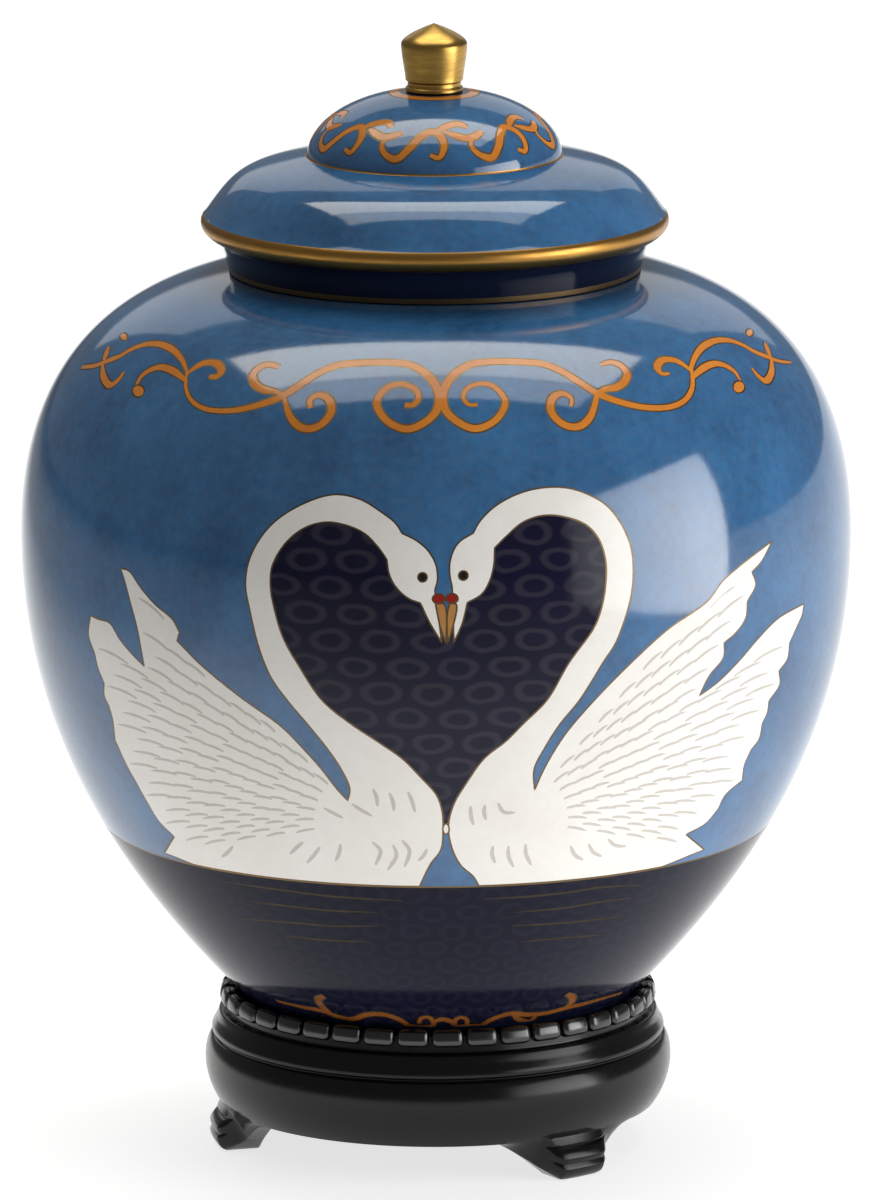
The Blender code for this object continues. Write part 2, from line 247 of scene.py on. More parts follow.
@dataclass(frozen=True)
class FiredEnamel:
    """Cloisonné enamel: opaque glass fired on copper, then ground and polished flush with its wires.

    The glass gives a wet, mirror-like gloss over a colour that is a little cloudy from one filling
    of powder to the next.
    """

    name: str
    body: str
    cloud: str
    wire: str = "#6E6250"
    wire_share: float = 0.0
    rings: tuple[Spot, ...] = ((0.70, 0.27),)
    wobble: float = 1.6
    cell: Spot = (12.083, 6.3)
    roughness: float = 0.09
    shine: float = 0.5
    cloud_size: float = 22.0 * MM
    grain_size: float = 2.4 * MM
    grain_share: float = 0.6
    wobble_size: float = 7.0 * MM
    swell_depth: float = 0.2 * MM

    def material(self) -> bpy.types.Material:
        """Build the enamel.

        Returns:
            The finished material.
        """
        material, tree, shader = new_shader(self.name)
        place = object_place(tree)
        cloud = noise(tree, place, self.cloud_size, 4.0, 0.62).outputs["Fac"]
        grain = noise(tree, place, self.grain_size, 3.0, 0.7).outputs["Fac"]
        both = worked(tree, "ADD", cloud, worked(tree, "MULTIPLY", grain, self.grain_share))
        share = ranged(tree, both, (0.55, 1.05))
        color = blended(tree, share, linear(self.body), linear(self.cloud))
        shader.inputs["Roughness"].default_value = self.roughness
        shader.inputs["Specular IOR Level"].default_value = self.shine
        if self.wire_share > 0.0:
            drawn = worked(tree, "MULTIPLY", self.wires(tree), self.wire_share)
            color = blended(tree, drawn, color, linear(self.wire))
        tree.links.new(color, shader.inputs["Base Color"])
        tree.links.new(sunk(tree, grain, 0.05, self.swell_depth), shader.inputs["Normal"])
        return material

    def wires(self, tree: bpy.types.NodeTree) -> bpy.types.NodeSocket:
        """Draw the ground's fine wires as rings in staggered cells, in millimetres on the sheet.

        Args:
            tree: the material's node tree.

        Returns:
            A socket that is 1 on a wire and 0 off it.
        """
        flat = add_node(tree, "ShaderNodeUVMap", {"uv_map": "sheet_mm"})
        wobble = noise(tree, object_place(tree), self.wobble_size, 1.0)
        bend = add_node(
            tree,
            "ShaderNodeVectorMath",
            {"operation": "MULTIPLY_ADD"},
            in0=wobble.outputs["Color"],
            in1=(self.wobble, self.wobble, 0.0),
            in2=flat.outputs["UV"],
        )
        parts = add_node(tree, "ShaderNodeSeparateXYZ", {}, Vector=bend.outputs[0])
        width, height = self.cell
        row = worked(tree, "DIVIDE", parts.outputs["Y"], height)
        odd = worked(tree, "MODULO", worked(tree, "FLOOR", row), 2.0)
        shift = worked(tree, "MULTIPLY", odd, 0.5)
        column = worked(tree, "ADD", worked(tree, "DIVIDE", parts.outputs["X"], width), shift)
        across = worked(tree, "SUBTRACT", worked(tree, "FRACT", column), 0.5)
        up = worked(tree, "SUBTRACT", worked(tree, "FRACT", row), 0.5)
        wide = worked(tree, "POWER", worked(tree, "MULTIPLY", across, 2.15), 2.0)
        tall = worked(tree, "POWER", worked(tree, "MULTIPLY", up, 2.0), 2.0)
        reach = worked(tree, "SQRT", worked(tree, "ADD", wide, tall))
        total: bpy.types.NodeSocket | None = None
        for ring, wire in self.rings:
            off = worked(tree, "ABSOLUTE", worked(tree, "SUBTRACT", reach, ring))
            line = ranged(tree, off, (0.3 * wire, wire), (1.0, 0.0), "SMOOTHSTEP")
            total = line if total is None else worked(tree, "MAXIMUM", total, line)
        return total


@dataclass(frozen=True)
class WornMetal:
    """Brass or gilt copper: a warm metal whose polish is clouded by fine rubbing marks."""

    name: str
    bright: str
    dull: str
    roughness: float
    rubbing: float = 0.12
    mark_size: float = 6.0 * MM

    def material(self) -> bpy.types.Material:
        """Build the metal.

        Returns:
            The finished material.
        """
        material, tree, shader = new_shader(self.name)
        marks = noise(tree, squeezed(tree, (1.0, 1.0, 9.0)), self.mark_size, 5.0, 0.65).outputs["Fac"]
        color = blended(tree, marks, linear(self.bright), linear(self.dull))
        gloss = ranged(tree, marks, (0.3, 0.7), (self.roughness, self.roughness + self.rubbing))
        shader.inputs["Metallic"].default_value = 1.0
        tree.links.new(color, shader.inputs["Base Color"])
        tree.links.new(gloss, shader.inputs["Roughness"])
        return material


@dataclass(frozen=True)
class Lacquer:
    """Black lacquer over carved wood: a thin glossy skin in which the wood's pores just show."""

    name: str
    body: str
    pore: str
    roughness: float
    shine: float = 0.34
    rubbing: float = 0.1
    pore_size: float = 1.6 * MM
    pore_depth: float = 0.15 * MM

    def material(self) -> bpy.types.Material:
        """Build the lacquer.

        Returns:
            The finished material.
        """
        material, tree, shader = new_shader(self.name)
        pores = noise(tree, squeezed(tree, (0.16, 1.0, 1.0)), self.pore_size, 4.0, 0.7).outputs["Fac"]
        color = blended(tree, pores, linear(self.body), linear(self.pore))
        gloss = ranged(tree, pores, (0.35, 0.75), (self.roughness, self.roughness + self.rubbing))
        shader.inputs["Specular IOR Level"].default_value = self.shine
        tree.links.new(color, shader.inputs["Base Color"])
        tree.links.new(gloss, shader.inputs["Roughness"])
        tree.links.new(sunk(tree, pores, 0.08, self.pore_depth), shader.inputs["Normal"])
        return material


def finishes() -> dict[Tone, bpy.types.Material]:
    """Make the material of every tone on the enamelled sheets.

    Returns:
        The materials by tone.
    """
    enamels = {
        Tone.BLUE: FiredEnamel(
            "blue_cloisonne_enamel",
            "#3A72A4",
            "#26527E",
            wire="#5C6470",
            wire_share=0.1,
            wobble=3.0,
            shine=0.85,
        ),
        Tone.NAVY: FiredEnamel(
            "navy_cloisonne_enamel",
            "#15162C",
            "#101124",
            wire="#2F2D36",
            wire_share=0.22,
            wobble=3.0,
            shine=0.13,
        ),
        Tone.NIGHT: FiredEnamel(
            "dark_heart_enamel",
            "#13132F",
            "#0E0E25",
            wire="#34323F",
            wire_share=0.7,
            wobble=1.8,
            shine=0.3,
        ),
        Tone.WHITE: FiredEnamel("white_enamel", "#FBF8F3", "#F3EFE8"),
        Tone.ORANGE: FiredEnamel("orange_enamel", "#DD8B35", "#C8762A"),
        Tone.RED: FiredEnamel("red_enamel", "#9A1510", "#84100C"),
        Tone.HORN: FiredEnamel("amber_enamel", "#C08A4C", "#A8743E"),
        Tone.EYE: FiredEnamel("dark_brown_enamel", "#241A10", "#1A130C"),
        Tone.THREAD: FiredEnamel("pale_grey_enamel", "#D3CEC7", "#C8C2BA"),
        Tone.LINING: FiredEnamel("counter_enamel", "#1D2C48", "#17233A", roughness=0.3),
        # Painted shade: the foot scroll's orange enamel, darkened as if it lay in shade low on the vessel.
        Tone.RUST: FiredEnamel("orange_enamel_painted_shade", "#94582A", "#7C4822", shine=0.3),
        Tone.NECK: FiredEnamel("deep_blue_enamel", "#11172E", "#0E1326", shine=0.3),
    }
    metals = {
        Tone.WIRE: WornMetal("brass_cell_wire", "#8A7350", "#5E4C36", 0.34),
        Tone.GILT: WornMetal("gilt_copper_rim", "#C99C54", "#98692C", 0.28),
        Tone.BRASS: WornMetal("polished_brass", "#CDA85C", "#8E6A30", 0.24),
        Tone.RIPPLE: WornMetal("tarnished_wire", "#544A3A", "#3E362A", 0.5),
    }
    made = {tone: recipe.material() for tone, recipe in enamels.items()}
    made.update({tone: recipe.material() for tone, recipe in metals.items()})
    made[Tone.LACQUER] = Lacquer("black_lacquered_wood", "#050505", "#090808", 0.16).material()
    made[Tone.BEAD] = Lacquer("polished_black_lacquer", "#060606", "#0B0A0A", 0.16, 0.95).material()
    return made


@dataclass(frozen=True)
class Eye:
    """The camera: where the photograph was taken from, and how its frame lies on the urn."""

    pitch: float = math.radians(11.7)
    distance: float = 3.0
    target_level: float = 133.1 * MM
    lens: float = 373.05
    sensor: float = 36.0
    roll: float = math.radians(-0.22)
    axis_column: float = 436.3
    frame: Spot = (879.0, 1200.0)

    def turned(self) -> Matrix:
        """Give the camera's rotation."""
        level = Matrix.Rotation(math.pi / 2.0 - self.pitch, 3, "X")
        return level @ Matrix.Rotation(self.roll, 3, "Z")

    def stand_point(self) -> Vector:
        """Give the camera's place."""
        back = Vector((0.0, -math.cos(self.pitch), math.sin(self.pitch)))
        return Vector((0.0, 0.0, self.target_level)) + back * self.distance

    def shift(self) -> float:
        """Give the sideways shift that sets the urn's axis where the frame has it."""
        return (self.frame[0] / 2.0 - self.axis_column) / max(self.frame)

    def rays(self, drawn: Sequence[Spot]) -> np.ndarray:
        """Give the direction of sight through points of the frame.

        Args:
            drawn: points in the frame, across and down from its top left corner.

        Returns:
            One direction for each point.
        """
        reach = self.lens / self.sensor * max(self.frame)
        points = np.asarray(drawn, float)
        across = points[:, 0] - self.axis_column
        down = points[:, 1] - self.frame[1] / 2.0
        local = np.stack([across, -down, np.full(len(points), -reach)], axis=1)
        return local @ np.array(self.turned()).T

    def place(self) -> bpy.types.Object:
        """Add the camera to the scene and make it the one that renders.

        Returns:
            The camera.
        """
        data = bpy.data.cameras.new("camera")
        data.lens = self.lens
        data.sensor_width = self.sensor
        data.sensor_fit = "AUTO"
        data.shift_x = self.shift()
        data.clip_start = 0.1
        data.clip_end = 60.0
        camera = bpy.data.objects.new("camera", data)
        camera.location = self.stand_point()
        camera.rotation_euler = self.turned().to_euler()
        bpy.context.scene.collection.objects.link(camera)
        bpy.context.scene.camera = camera
        return camera


def bezier(start: Vector, first: Vector, second: Vector, end: Vector, steps: int) -> list[Vector]:
    """Give the points of a cubic curve, both ends included.

    Args:
        start: where the curve starts.
        first: handle of the start.
        second: handle of the end.
        end: where the curve ends.
        steps: spans along the curve.

    Returns:
        The points in order.
    """
    points = []
    for step in range(steps + 1):
        t = step / steps
        u = 1.0 - t
        points.append(u**3 * start + 3 * u * u * t * first + 3 * u * t * t * second + t**3 * end)
    return points


def heading(degrees: float) -> Vector:
    """Give a unit step in the profile plane, outwards and so many degrees below level."""
    angle = math.radians(degrees)
    return Vector((math.cos(angle), -math.sin(angle)))


def smooth_line(stops: Sequence[Spot], step: float, closed: bool = False) -> np.ndarray:
    """Run a smooth line through stops and space points evenly along it.

    Args:
        stops: points that the line passes through.
        step: distance between the new points, in the stops' own unit.
        closed: whether the line returns to its first stop.

    Returns:
        The points, with the last stop left off a closed line.
    """
    points = np.asarray(stops, float)
    if len(points) == 2 and not closed:
        count = max(2, int(np.linalg.norm(points[1] - points[0]) / step) + 1)
        shares = np.linspace(0.0, 1.0, count)[:, None]
        return points[0] + (points[1] - points[0]) * shares
    if closed:
        padded = np.vstack([points[-1], points, points[0], points[1]])
    else:
        padded = np.vstack([2 * points[0] - points[1], points, 2 * points[-1] - points[-2]])
    fine = []
    for before, here, there, after in zip(padded, padded[1:], padded[2:], padded[3:]):
        knots = [0.0]
        for left, right in ((before, here), (here, there), (there, after)):
            knots.append(knots[-1] + max(np.linalg.norm(right - left), 1e-6) ** 0.5)
        t = np.linspace(knots[1], knots[2], 13)[:-1, None]

        def between(a: np.ndarray, b: np.ndarray, low: float, high: float) -> np.ndarray:
            """Blend two points or lines between two knots."""
            return a * (high - t) / (high - low) + b * (t - low) / (high - low)

        first = between(before, here, knots[0], knots[1])
        second = between(here, there, knots[1], knots[2])
        third = between(there, after, knots[2], knots[3])
        left = between(first, second, knots[0], knots[2])
        right = between(second, third, knots[1], knots[3])
        fine.append(between(left, right, knots[1], knots[2]))
    line = np.vstack(fine) if closed else np.vstack([*fine, points[-1:]])
    if closed:
        line = np.vstack([line, line[:1]])
    run = np.concatenate([[0.0], np.cumsum(np.linalg.norm(np.diff(line, axis=0), axis=1))])
    count = max(3, int(round(run[-1] / step)) + 1)
    marks = np.linspace(0.0, run[-1], count)
    even = np.stack([np.interp(marks, run, line[:, axis]) for axis in (0, 1)], axis=1)
    return even[:-1] if closed else even


@dataclass
class Cell:
    """One closed area of the picture, in the sheet's flat coordinates: turn in radians and run in metres."""

    tone: Tone
    outline: np.ndarray


class TurnedSheet:
    """The outer line of a sheet of metal turned about the axis, and the picture laid into it.

    A point of the sheet is given by its turn, in radians from the front towards the viewer's right,
    and its run, the length along the profile from its upper end.
    """

    def __init__(self, profile: Sequence[Vector], spread: float) -> None:
        """Measure the profile.

        Args:
            profile: points of radius and level from the top down.
            spread: radius at which the sheet is unrolled.
        """
        self.line = np.array([(point.x, point.y) for point in profile])
        self.runs = np.concatenate([[0.0], np.cumsum(np.linalg.norm(np.diff(self.line, axis=0), axis=1))])
        self.spread = spread
        slope = np.gradient(self.line, self.runs, axis=0)
        self.facing = np.stack([-slope[:, 1], slope[:, 0]], axis=1)

    def radius(self, runs: np.ndarray) -> np.ndarray:
        """Give the sheet's radius at some runs."""
        return np.interp(runs, self.runs, self.line[:, 0])

    def level(self, runs: np.ndarray) -> np.ndarray:
        """Give the sheet's height at some runs."""
        return np.interp(runs, self.runs, self.line[:, 1])

    def run_at(self, levels: np.ndarray | float) -> np.ndarray:
        """Give the run at some heights, for a profile that only goes down."""
        return np.interp(-np.asarray(levels), -self.line[:, 1], self.runs)

    def in_space(self, flat: np.ndarray) -> np.ndarray:
        """Wrap flat points round the axis.

        Args:
            flat: turns and runs.

        Returns:
            Points in space.
        """
        radius = self.radius(flat[:, 1])
        angle = flat[:, 0] + FRONT
        return np.stack([radius * np.cos(angle), radius * np.sin(angle), self.level(flat[:, 1])], axis=1)

    def facing_at(self, flat: np.ndarray) -> np.ndarray:
        """Give the true outward direction of the smooth sheet.

        Args:
            flat: turns and runs.

        Returns:
            Unit directions.
        """
        out = np.interp(flat[:, 1], self.runs, self.facing[:, 0])
        up = np.interp(flat[:, 1], self.runs, self.facing[:, 1])
        angle = flat[:, 0] + FRONT
        found = np.stack([out * np.cos(angle), out * np.sin(angle), up], axis=1)
        return found / np.linalg.norm(found, axis=1)[:, None]

    def seen(self, eye: Eye, drawn: Sequence[Spot]) -> np.ndarray:
        """Lay a drawing that is made in the camera's frame onto the front of the sheet.

        Args:
            eye: the camera.
            drawn: points in the frame.

        Returns:
            Turns and runs of the points where the lines of sight first meet the sheet.
        """
        ways = eye.rays(drawn)
        start = np.array(eye.stand_point())
        levels = np.linspace(self.line[0, 1], self.line[-1, 1], 1600)
        radii = self.radius(self.run_at(levels))
        reach = (levels[None, :] - start[2]) / ways[:, 2:3]
        east = start[0] + reach * ways[:, 0:1]
        north = start[1] + reach * ways[:, 1:2]
        clear = np.hypot(east, north) - radii[None, :]
        inside = clear <= 0.0
        first = np.where(inside.any(axis=1), inside.argmax(axis=1), clear.argmin(axis=1))
        rows = np.arange(len(first))
        before = np.maximum(first - 1, 0)
        high = clear[rows, before]
        low = clear[rows, first]
        share = np.where(high > low, high / np.maximum(high - low, 1e-12), 0.0)
        share = np.clip(np.where(inside[rows, first], share, 1.0), 0.0, 1.0)

        def met(values: np.ndarray) -> np.ndarray:
            """Blend a value between the last point outside and the first inside."""
            return values[rows, before] * (1.0 - share) + values[rows, first] * share

        level = levels[before] * (1.0 - share) + levels[first] * share
        turn = np.arctan2(met(east), -met(north))
        return np.stack([turn, self.run_at(level)], axis=1)

    def ribbon(
        self, line: np.ndarray, width: float, closed: bool = False, ends: Spot = (1.0, 1.0)
    ) -> np.ndarray:
        """Give the outline of a strip of even width along a line on the sheet.

        Args:
            line: turns and runs along the middle.
            width: the strip's width.
            closed: whether the line is a loop.
            ends: share of the width that is kept at the start and at the end.

        Returns:
            Turns and runs of the outline.
        """
        radius = self.radius(line[:, 1])
        if closed:
            step = np.roll(line, -1, axis=0) - np.roll(line, 1, axis=0)
        else:
            step = np.gradient(line, axis=0)
        true = np.stack([step[:, 0] * radius, step[:, 1]], axis=1)
        length = np.maximum(np.linalg.norm(true, axis=1), 1e-12)
        side = np.stack([-true[:, 1], true[:, 0]], axis=1) / length[:, None]
        taper = np.ones(len(line))
        if not closed:
            share = np.linspace(0.0, 1.0, len(line))
            taper = np.minimum(
                1.0,
                np.minimum(
                    ends[0] + (1.0 - ends[0]) * share / 0.25,
                    ends[1] + (1.0 - ends[1]) * (1.0 - share) / 0.25,
                ),
            )
        offset = side * (0.5 * width * taper)[:, None]
        offset[:, 0] /= radius
        left = line + offset
        right = line - offset
        if closed:
            return np.vstack([left, left[:1], right[:1], right[::-1]])
        return np.vstack([left, right[::-1]])


def inside_outline(outline: np.ndarray, points: np.ndarray) -> np.ndarray:
    """Tell which points an outline winds round.

    Args:
        outline: the outline's points in order.
        points: points to test.

    Returns:
        True for each point inside.
    """
    low = outline.min(axis=0)
    high = outline.max(axis=0)
    near = np.nonzero(np.all((points >= low) & (points <= high), axis=1))[0]
    found = np.zeros(len(points), bool)
    if not len(near):
        return found
    x = points[near, 0][:, None]
    y = points[near, 1][:, None]
    here = outline[None, :, :]
    there = np.roll(outline, -1, axis=0)[None, :, :]
    side = (there[..., 0] - here[..., 0]) * (y - here[..., 1]) - (x - here[..., 0]) * (
        there[..., 1] - here[..., 1]
    )
    up = (here[..., 1] <= y) & (there[..., 1] > y) & (side > 0)
    down = (here[..., 1] > y) & (there[..., 1] <= y) & (side < 0)
    found[near] = (up.sum(axis=1) - down.sum(axis=1)) != 0
    return found


@dataclass
class Inlay:
    """Enamel cells cut flush into a turned sheet.

    The sheet is cut up flat and then wrapped, because a picture that lies flush in one smooth skin
    is what no edit operator gives: cells that are set on or sunk in would stand out from it.
    """

    sheet: TurnedSheet
    columns: int
    rows: Sequence[float]
    bands: Sequence[tuple[float, Tone]]
    cells: Sequence[Cell] = field(default_factory=list)

    def cut(self) -> tuple[np.ndarray, np.ndarray, np.ndarray]:
        """Cut the flat sheet into triangles along its grid, its bands and its cells.

        Returns:
            Flat points, triangles and the tone number of each triangle.
        """
        spread = self.sheet.spread
        turns = np.linspace(SEAM - TURN, SEAM, self.columns + 1)
        edges = [run for run, _ in self.bands[:-1]]
        rows = np.unique(np.round(np.concatenate([np.asarray(self.rows), edges]), 7))
        grid = np.array([(turn * spread, run) for run in rows for turn in turns])
        lines: list[tuple[int, int]] = []
        for run in edges:
            row = int(np.argmin(np.abs(rows - run)))
            start = row * len(turns)
            lines += [(start + at, start + at + 1) for at in range(self.columns)]
        for row in range(len(rows) - 1):
            start = row * len(turns)
            lines += [(start, start + len(turns)), (start + self.columns, start + 2 * self.columns + 1)]
        laid = []
        for cell in self.cells:
            home = turned_by(cell.outline, -TURN * math.ceil((cell.outline[:, 0].mean() - SEAM) / TURN))
            for lap in (-TURN, 0.0, TURN):
                moved = turned_by(home, lap)
                if moved[:, 0].max() > SEAM - TURN and moved[:, 0].min() < SEAM:
                    laid.append(Cell(cell.tone, moved))
        points = [grid]
        count = len(grid)
        for cell in laid:
            outline = cell.outline * (spread, 1.0)
            size = len(outline)
            points.append(outline)
            lines += [(count + at, count + (at + 1) % size) for at in range(size)]
            count += size
        flat = np.vstack(points) / MM
        found, _, faces, *_ = geometry.delaunay_2d_cdt(
            [Vector(point) for point in flat], lines, [], 0, 1e-4
        )
        cut = np.array([(point.x, point.y) for point in found]) * MM / (spread, 1.0)
        triangles = np.array([face[:3] for face in faces])
        middle = cut[triangles].mean(axis=1)
        kept = (middle[:, 0] > SEAM - TURN) & (middle[:, 0] < SEAM)
        used, triangles = np.unique(triangles[kept], return_inverse=True)
        triangles = triangles.reshape(-1, 3)
        cut = cut[used]
        middle = middle[kept]
        tones = np.full(len(triangles), self.bands[-1][1].value)
        for run, tone in reversed(self.bands[:-1]):
            tones[middle[:, 1] < run] = tone.value
        for cell in laid:
            tones[inside_outline(cell.outline, middle)] = cell.tone.value
        return cut, triangles, tones

    def skin(self, name: str, materials: Iterable[bpy.types.Material]) -> bpy.types.Object:
        """Wrap the cut sheet.

        Args:
            name: the new object's name.
            materials: the materials in the order of their tones.

        Returns:
            The skin, with a map in millimetres and a tone for each face.
        """
        cut, triangles, tones = self.cut()
        space = self.sheet.in_space(cut)
        mesh = bpy.data.meshes.new(name)
        mesh.from_pydata(space.tolist(), [], triangles[:, ::-1].tolist())
        for material in materials:
            mesh.materials.append(material)
        mesh.polygons.foreach_set("material_index", tones.astype(np.int32))
        corners = np.empty(len(mesh.loops), np.int32)
        mesh.loops.foreach_get("vertex_index", corners)
        chart = mesh.uv_layers.new(name="sheet_mm")
        chart.data.foreach_set("uv", (cut[corners] * (self.sheet.spread, 1.0) / MM).ravel())
        item = bpy.data.objects.new(name, mesh)
        bpy.context.scene.collection.objects.link(item)
        return item


def select_only(*items: bpy.types.Object) -> None:
    """Deselect all and select these objects, the first one active."""
    bpy.ops.object.select_all(action="DESELECT")
    for item in items:
        item.select_set(True)
    bpy.context.view_layer.objects.active = items[0]


def lathe(name: str, profile: Sequence[Vector], steps: int) -> bpy.types.Object:
    """Draw a profile one point after another and spin it about the axis.

    Args:
        name: the new object's name.
        profile: points of radius and level in order.
        steps: copies of the profile round the axis.

    Returns:
        The turned piece, its doubles merged.
    """
    bpy.ops.object.select_all(action="DESELECT")
    start = profile[0]
    bpy.ops.mesh.primitive_plane_add(size=MM, location=(start.x, 0.0, start.y))
    item = bpy.context.object
    item.name = name
    item.data.name = name
    bpy.ops.object.transform_apply(location=True, rotation=True, scale=True)
    bpy.ops.object.mode_set(mode="EDIT")
    bpy.ops.mesh.select_all(action="SELECT")
    bpy.ops.mesh.merge(type="CENTER")
    for here, there in zip(profile, profile[1:]):
        step = there - here
        bpy.ops.mesh.extrude_vertices_move(TRANSFORM_OT_translate={"value": (step.x, 0.0, step.y)})
    bpy.ops.mesh.select_all(action="SELECT")
    bpy.ops.mesh.spin(steps=steps, angle=TURN, center=(0.0, 0.0, 0.0), axis=(0.0, 0.0, 1.0))
    bpy.ops.mesh.select_all(action="SELECT")
    bpy.ops.mesh.remove_doubles(threshold=0.002 * MM)
    bpy.ops.mesh.normals_make_consistent(inside=False)
    bpy.ops.object.mode_set(mode="OBJECT")
    return item


def smooth_by_angle(item: bpy.types.Object, degrees: float) -> None:
    """Shade an object smooth but keep edges sharper than an angle."""
    select_only(item)
    bpy.ops.object.shade_smooth_by_angle(angle=math.radians(degrees))


def dress(item: bpy.types.Object, materials: Iterable[bpy.types.Material]) -> None:
    """Give an object its material slots in order."""
    item.data.materials.clear()
    for material in materials:
        item.data.materials.append(material)


def inside_of(sheet: Sequence[Vector], wall: float) -> list[Vector]:
    """Give the line one wall inside a profile that runs down its outer side.

    Args:
        sheet: the outer line.
        wall: the wall's thickness.

    Returns:
        The inner line.
    """
    normals = []
    for here, there in zip(sheet, sheet[1:]):
        run = (there - here).normalized()
        normals.append(Vector((run.y, -run.x)))
    inside = []
    for index, point in enumerate(sheet):
        before = normals[max(index - 1, 0)]
        after = normals[min(index, len(normals) - 1)]
        middle = (before + after).normalized()
        inside.append(point + middle * wall / middle.dot(after))
    return inside


def close_skin(skin: bpy.types.Object, walls: bpy.types.Object, sheet: TurnedSheet) -> bpy.types.Object:
    """Weld the enamelled skin to the turned walls behind it and set the skin's true facing.

    Args:
        skin: the enamelled skin.
        walls: the rest of the piece, which meets the skin's two ends.
        sheet: the sheet that the skin follows.

    Returns:
        The closed piece, under the skin's name.
    """
    walls.data.uv_layers.new(name="sheet_mm")
    dress(walls, skin.data.materials)
    for face in walls.data.polygons:
        face.material_index = Tone.LINING.value
    skin_faces = len(skin.data.polygons)
    select_only(skin, walls)
    bpy.ops.object.join()
    marks = skin.data.attributes.new("is_skin", "BOOLEAN", "FACE")
    flags = np.zeros(len(skin.data.polygons), bool)
    flags[:skin_faces] = True
    marks.data.foreach_set("value", flags)
    bpy.ops.object.mode_set(mode="EDIT")
    bpy.ops.mesh.select_all(action="SELECT")
    bpy.ops.mesh.remove_doubles(threshold=0.004 * MM)
    bpy.ops.mesh.dissolve_degenerate(threshold=0.0005 * MM)
    bpy.ops.object.mode_set(mode="OBJECT")
    smooth_by_angle(skin, 35.0)
    mesh = skin.data
    flags = np.zeros(len(mesh.polygons), bool)
    mesh.attributes["is_skin"].data.foreach_get("value", flags)
    normals = np.empty(len(mesh.loops) * 3)
    mesh.corner_normals.foreach_get("vector", normals)
    normals = normals.reshape(-1, 3)
    places = np.empty(len(mesh.vertices) * 3)
    mesh.vertices.foreach_get("co", places)
    places = places.reshape(-1, 3)
    corners = np.empty(len(mesh.loops), np.int32)
    mesh.loops.foreach_get("vertex_index", corners)
    owners = np.repeat(np.arange(len(mesh.polygons)), [len(face.vertices) for face in mesh.polygons])
    own = flags[owners]
    spots = places[corners[own]]
    turns = np.arctan2(spots[:, 0], -spots[:, 1])
    runs = sheet.run_at(spots[:, 2])
    normals[own] = sheet.facing_at(np.stack([turns, runs], axis=1))
    mesh.normals_split_custom_set(normals.tolist())
    return skin


@dataclass(frozen=True)
class Pen:
    """Lays wired cells of enamel on a sheet."""

    sheet: TurnedSheet
    eye: Eye
    step: float = 2.0

    def outline(self, strokes: Strokes) -> np.ndarray:
        """Join smooth strokes into a loop, each from where the one before it ends.

        Args:
            strokes: points in the camera's frame, with a corner at each stroke's end.

        Returns:
            Turns and runs along the loop.
        """
        last = strokes[-1][-1]
        parts = []
        for stroke in strokes:
            parts.append(smooth_line([last, *stroke], self.step)[:-1])
            last = stroke[-1]
        return self.sheet.seen(self.eye, np.vstack(parts))

    def area(self, outline: np.ndarray, tone: Tone, wire: Tone = Tone.WIRE) -> list[Cell]:
        """Fill a loop and run a wire round it.

        Args:
            outline: turns and runs along the loop.
            tone: the filling.
            wire: the wire's tone.

        Returns:
            The filling and its wire.
        """
        return [Cell(tone, outline), Cell(wire, self.sheet.ribbon(outline, WIRE_WIDTH, closed=True))]

    def line(self, stops: Sequence[Spot]) -> np.ndarray:
        """Run a smooth line through points of the frame.

        Args:
            stops: points in the camera's frame.

        Returns:
            Turns and runs along the line.
        """
        return self.sheet.seen(self.eye, smooth_line(stops, self.step))

    def dot(self, center: Spot, across: float, tone: Tone, tall: float = 1.0) -> list[Cell]:
        """Fill a small oval and run a wire round it.

        Args:
            center: its middle in the camera's frame.
            across: half its width in the frame.
            tone: the filling.
            tall: its height as a share of its width.

        Returns:
            The filling and its wire.
        """
        angles = np.linspace(0.0, TURN, 17)[:-1]
        ring = np.stack(
            [center[0] + across * np.cos(angles), center[1] + across * tall * np.sin(angles)], axis=1
        )
        return self.area(self.sheet.seen(self.eye, ring), tone)

    def scroll(self, lines: Iterable[tuple[np.ndarray, float]], tone: Tone = Tone.ORANGE) -> list[Cell]:
        """Give strips of enamel between two wires.

        Args:
            lines: the middle line and the width of each strip.
            tone: the filling.

        Returns:
            All the wires, then all the fillings, so that strips that meet run into one another.
        """
        rims = []
        cores = []
        for line, width in lines:
            rims.append(Cell(Tone.WIRE, self.sheet.ribbon(line, width + 2.0 * WIRE_WIDTH, ends=(0.5, 0.7))))
            cores.append(Cell(tone, self.sheet.ribbon(line, width, ends=(0.4, 0.6))))
        return rims + cores


def mirrored(line: np.ndarray, center: float) -> np.ndarray:
    """Reflect turns about a center, in an order that keeps the outline's sense."""
    return np.stack([2.0 * center - line[::-1, 0], line[::-1, 1]], axis=1)


def turned_by(line: np.ndarray, angle: float) -> np.ndarray:
    """Carry a line round the axis."""
    return np.stack([line[:, 0] + angle, line[:, 1]], axis=1)


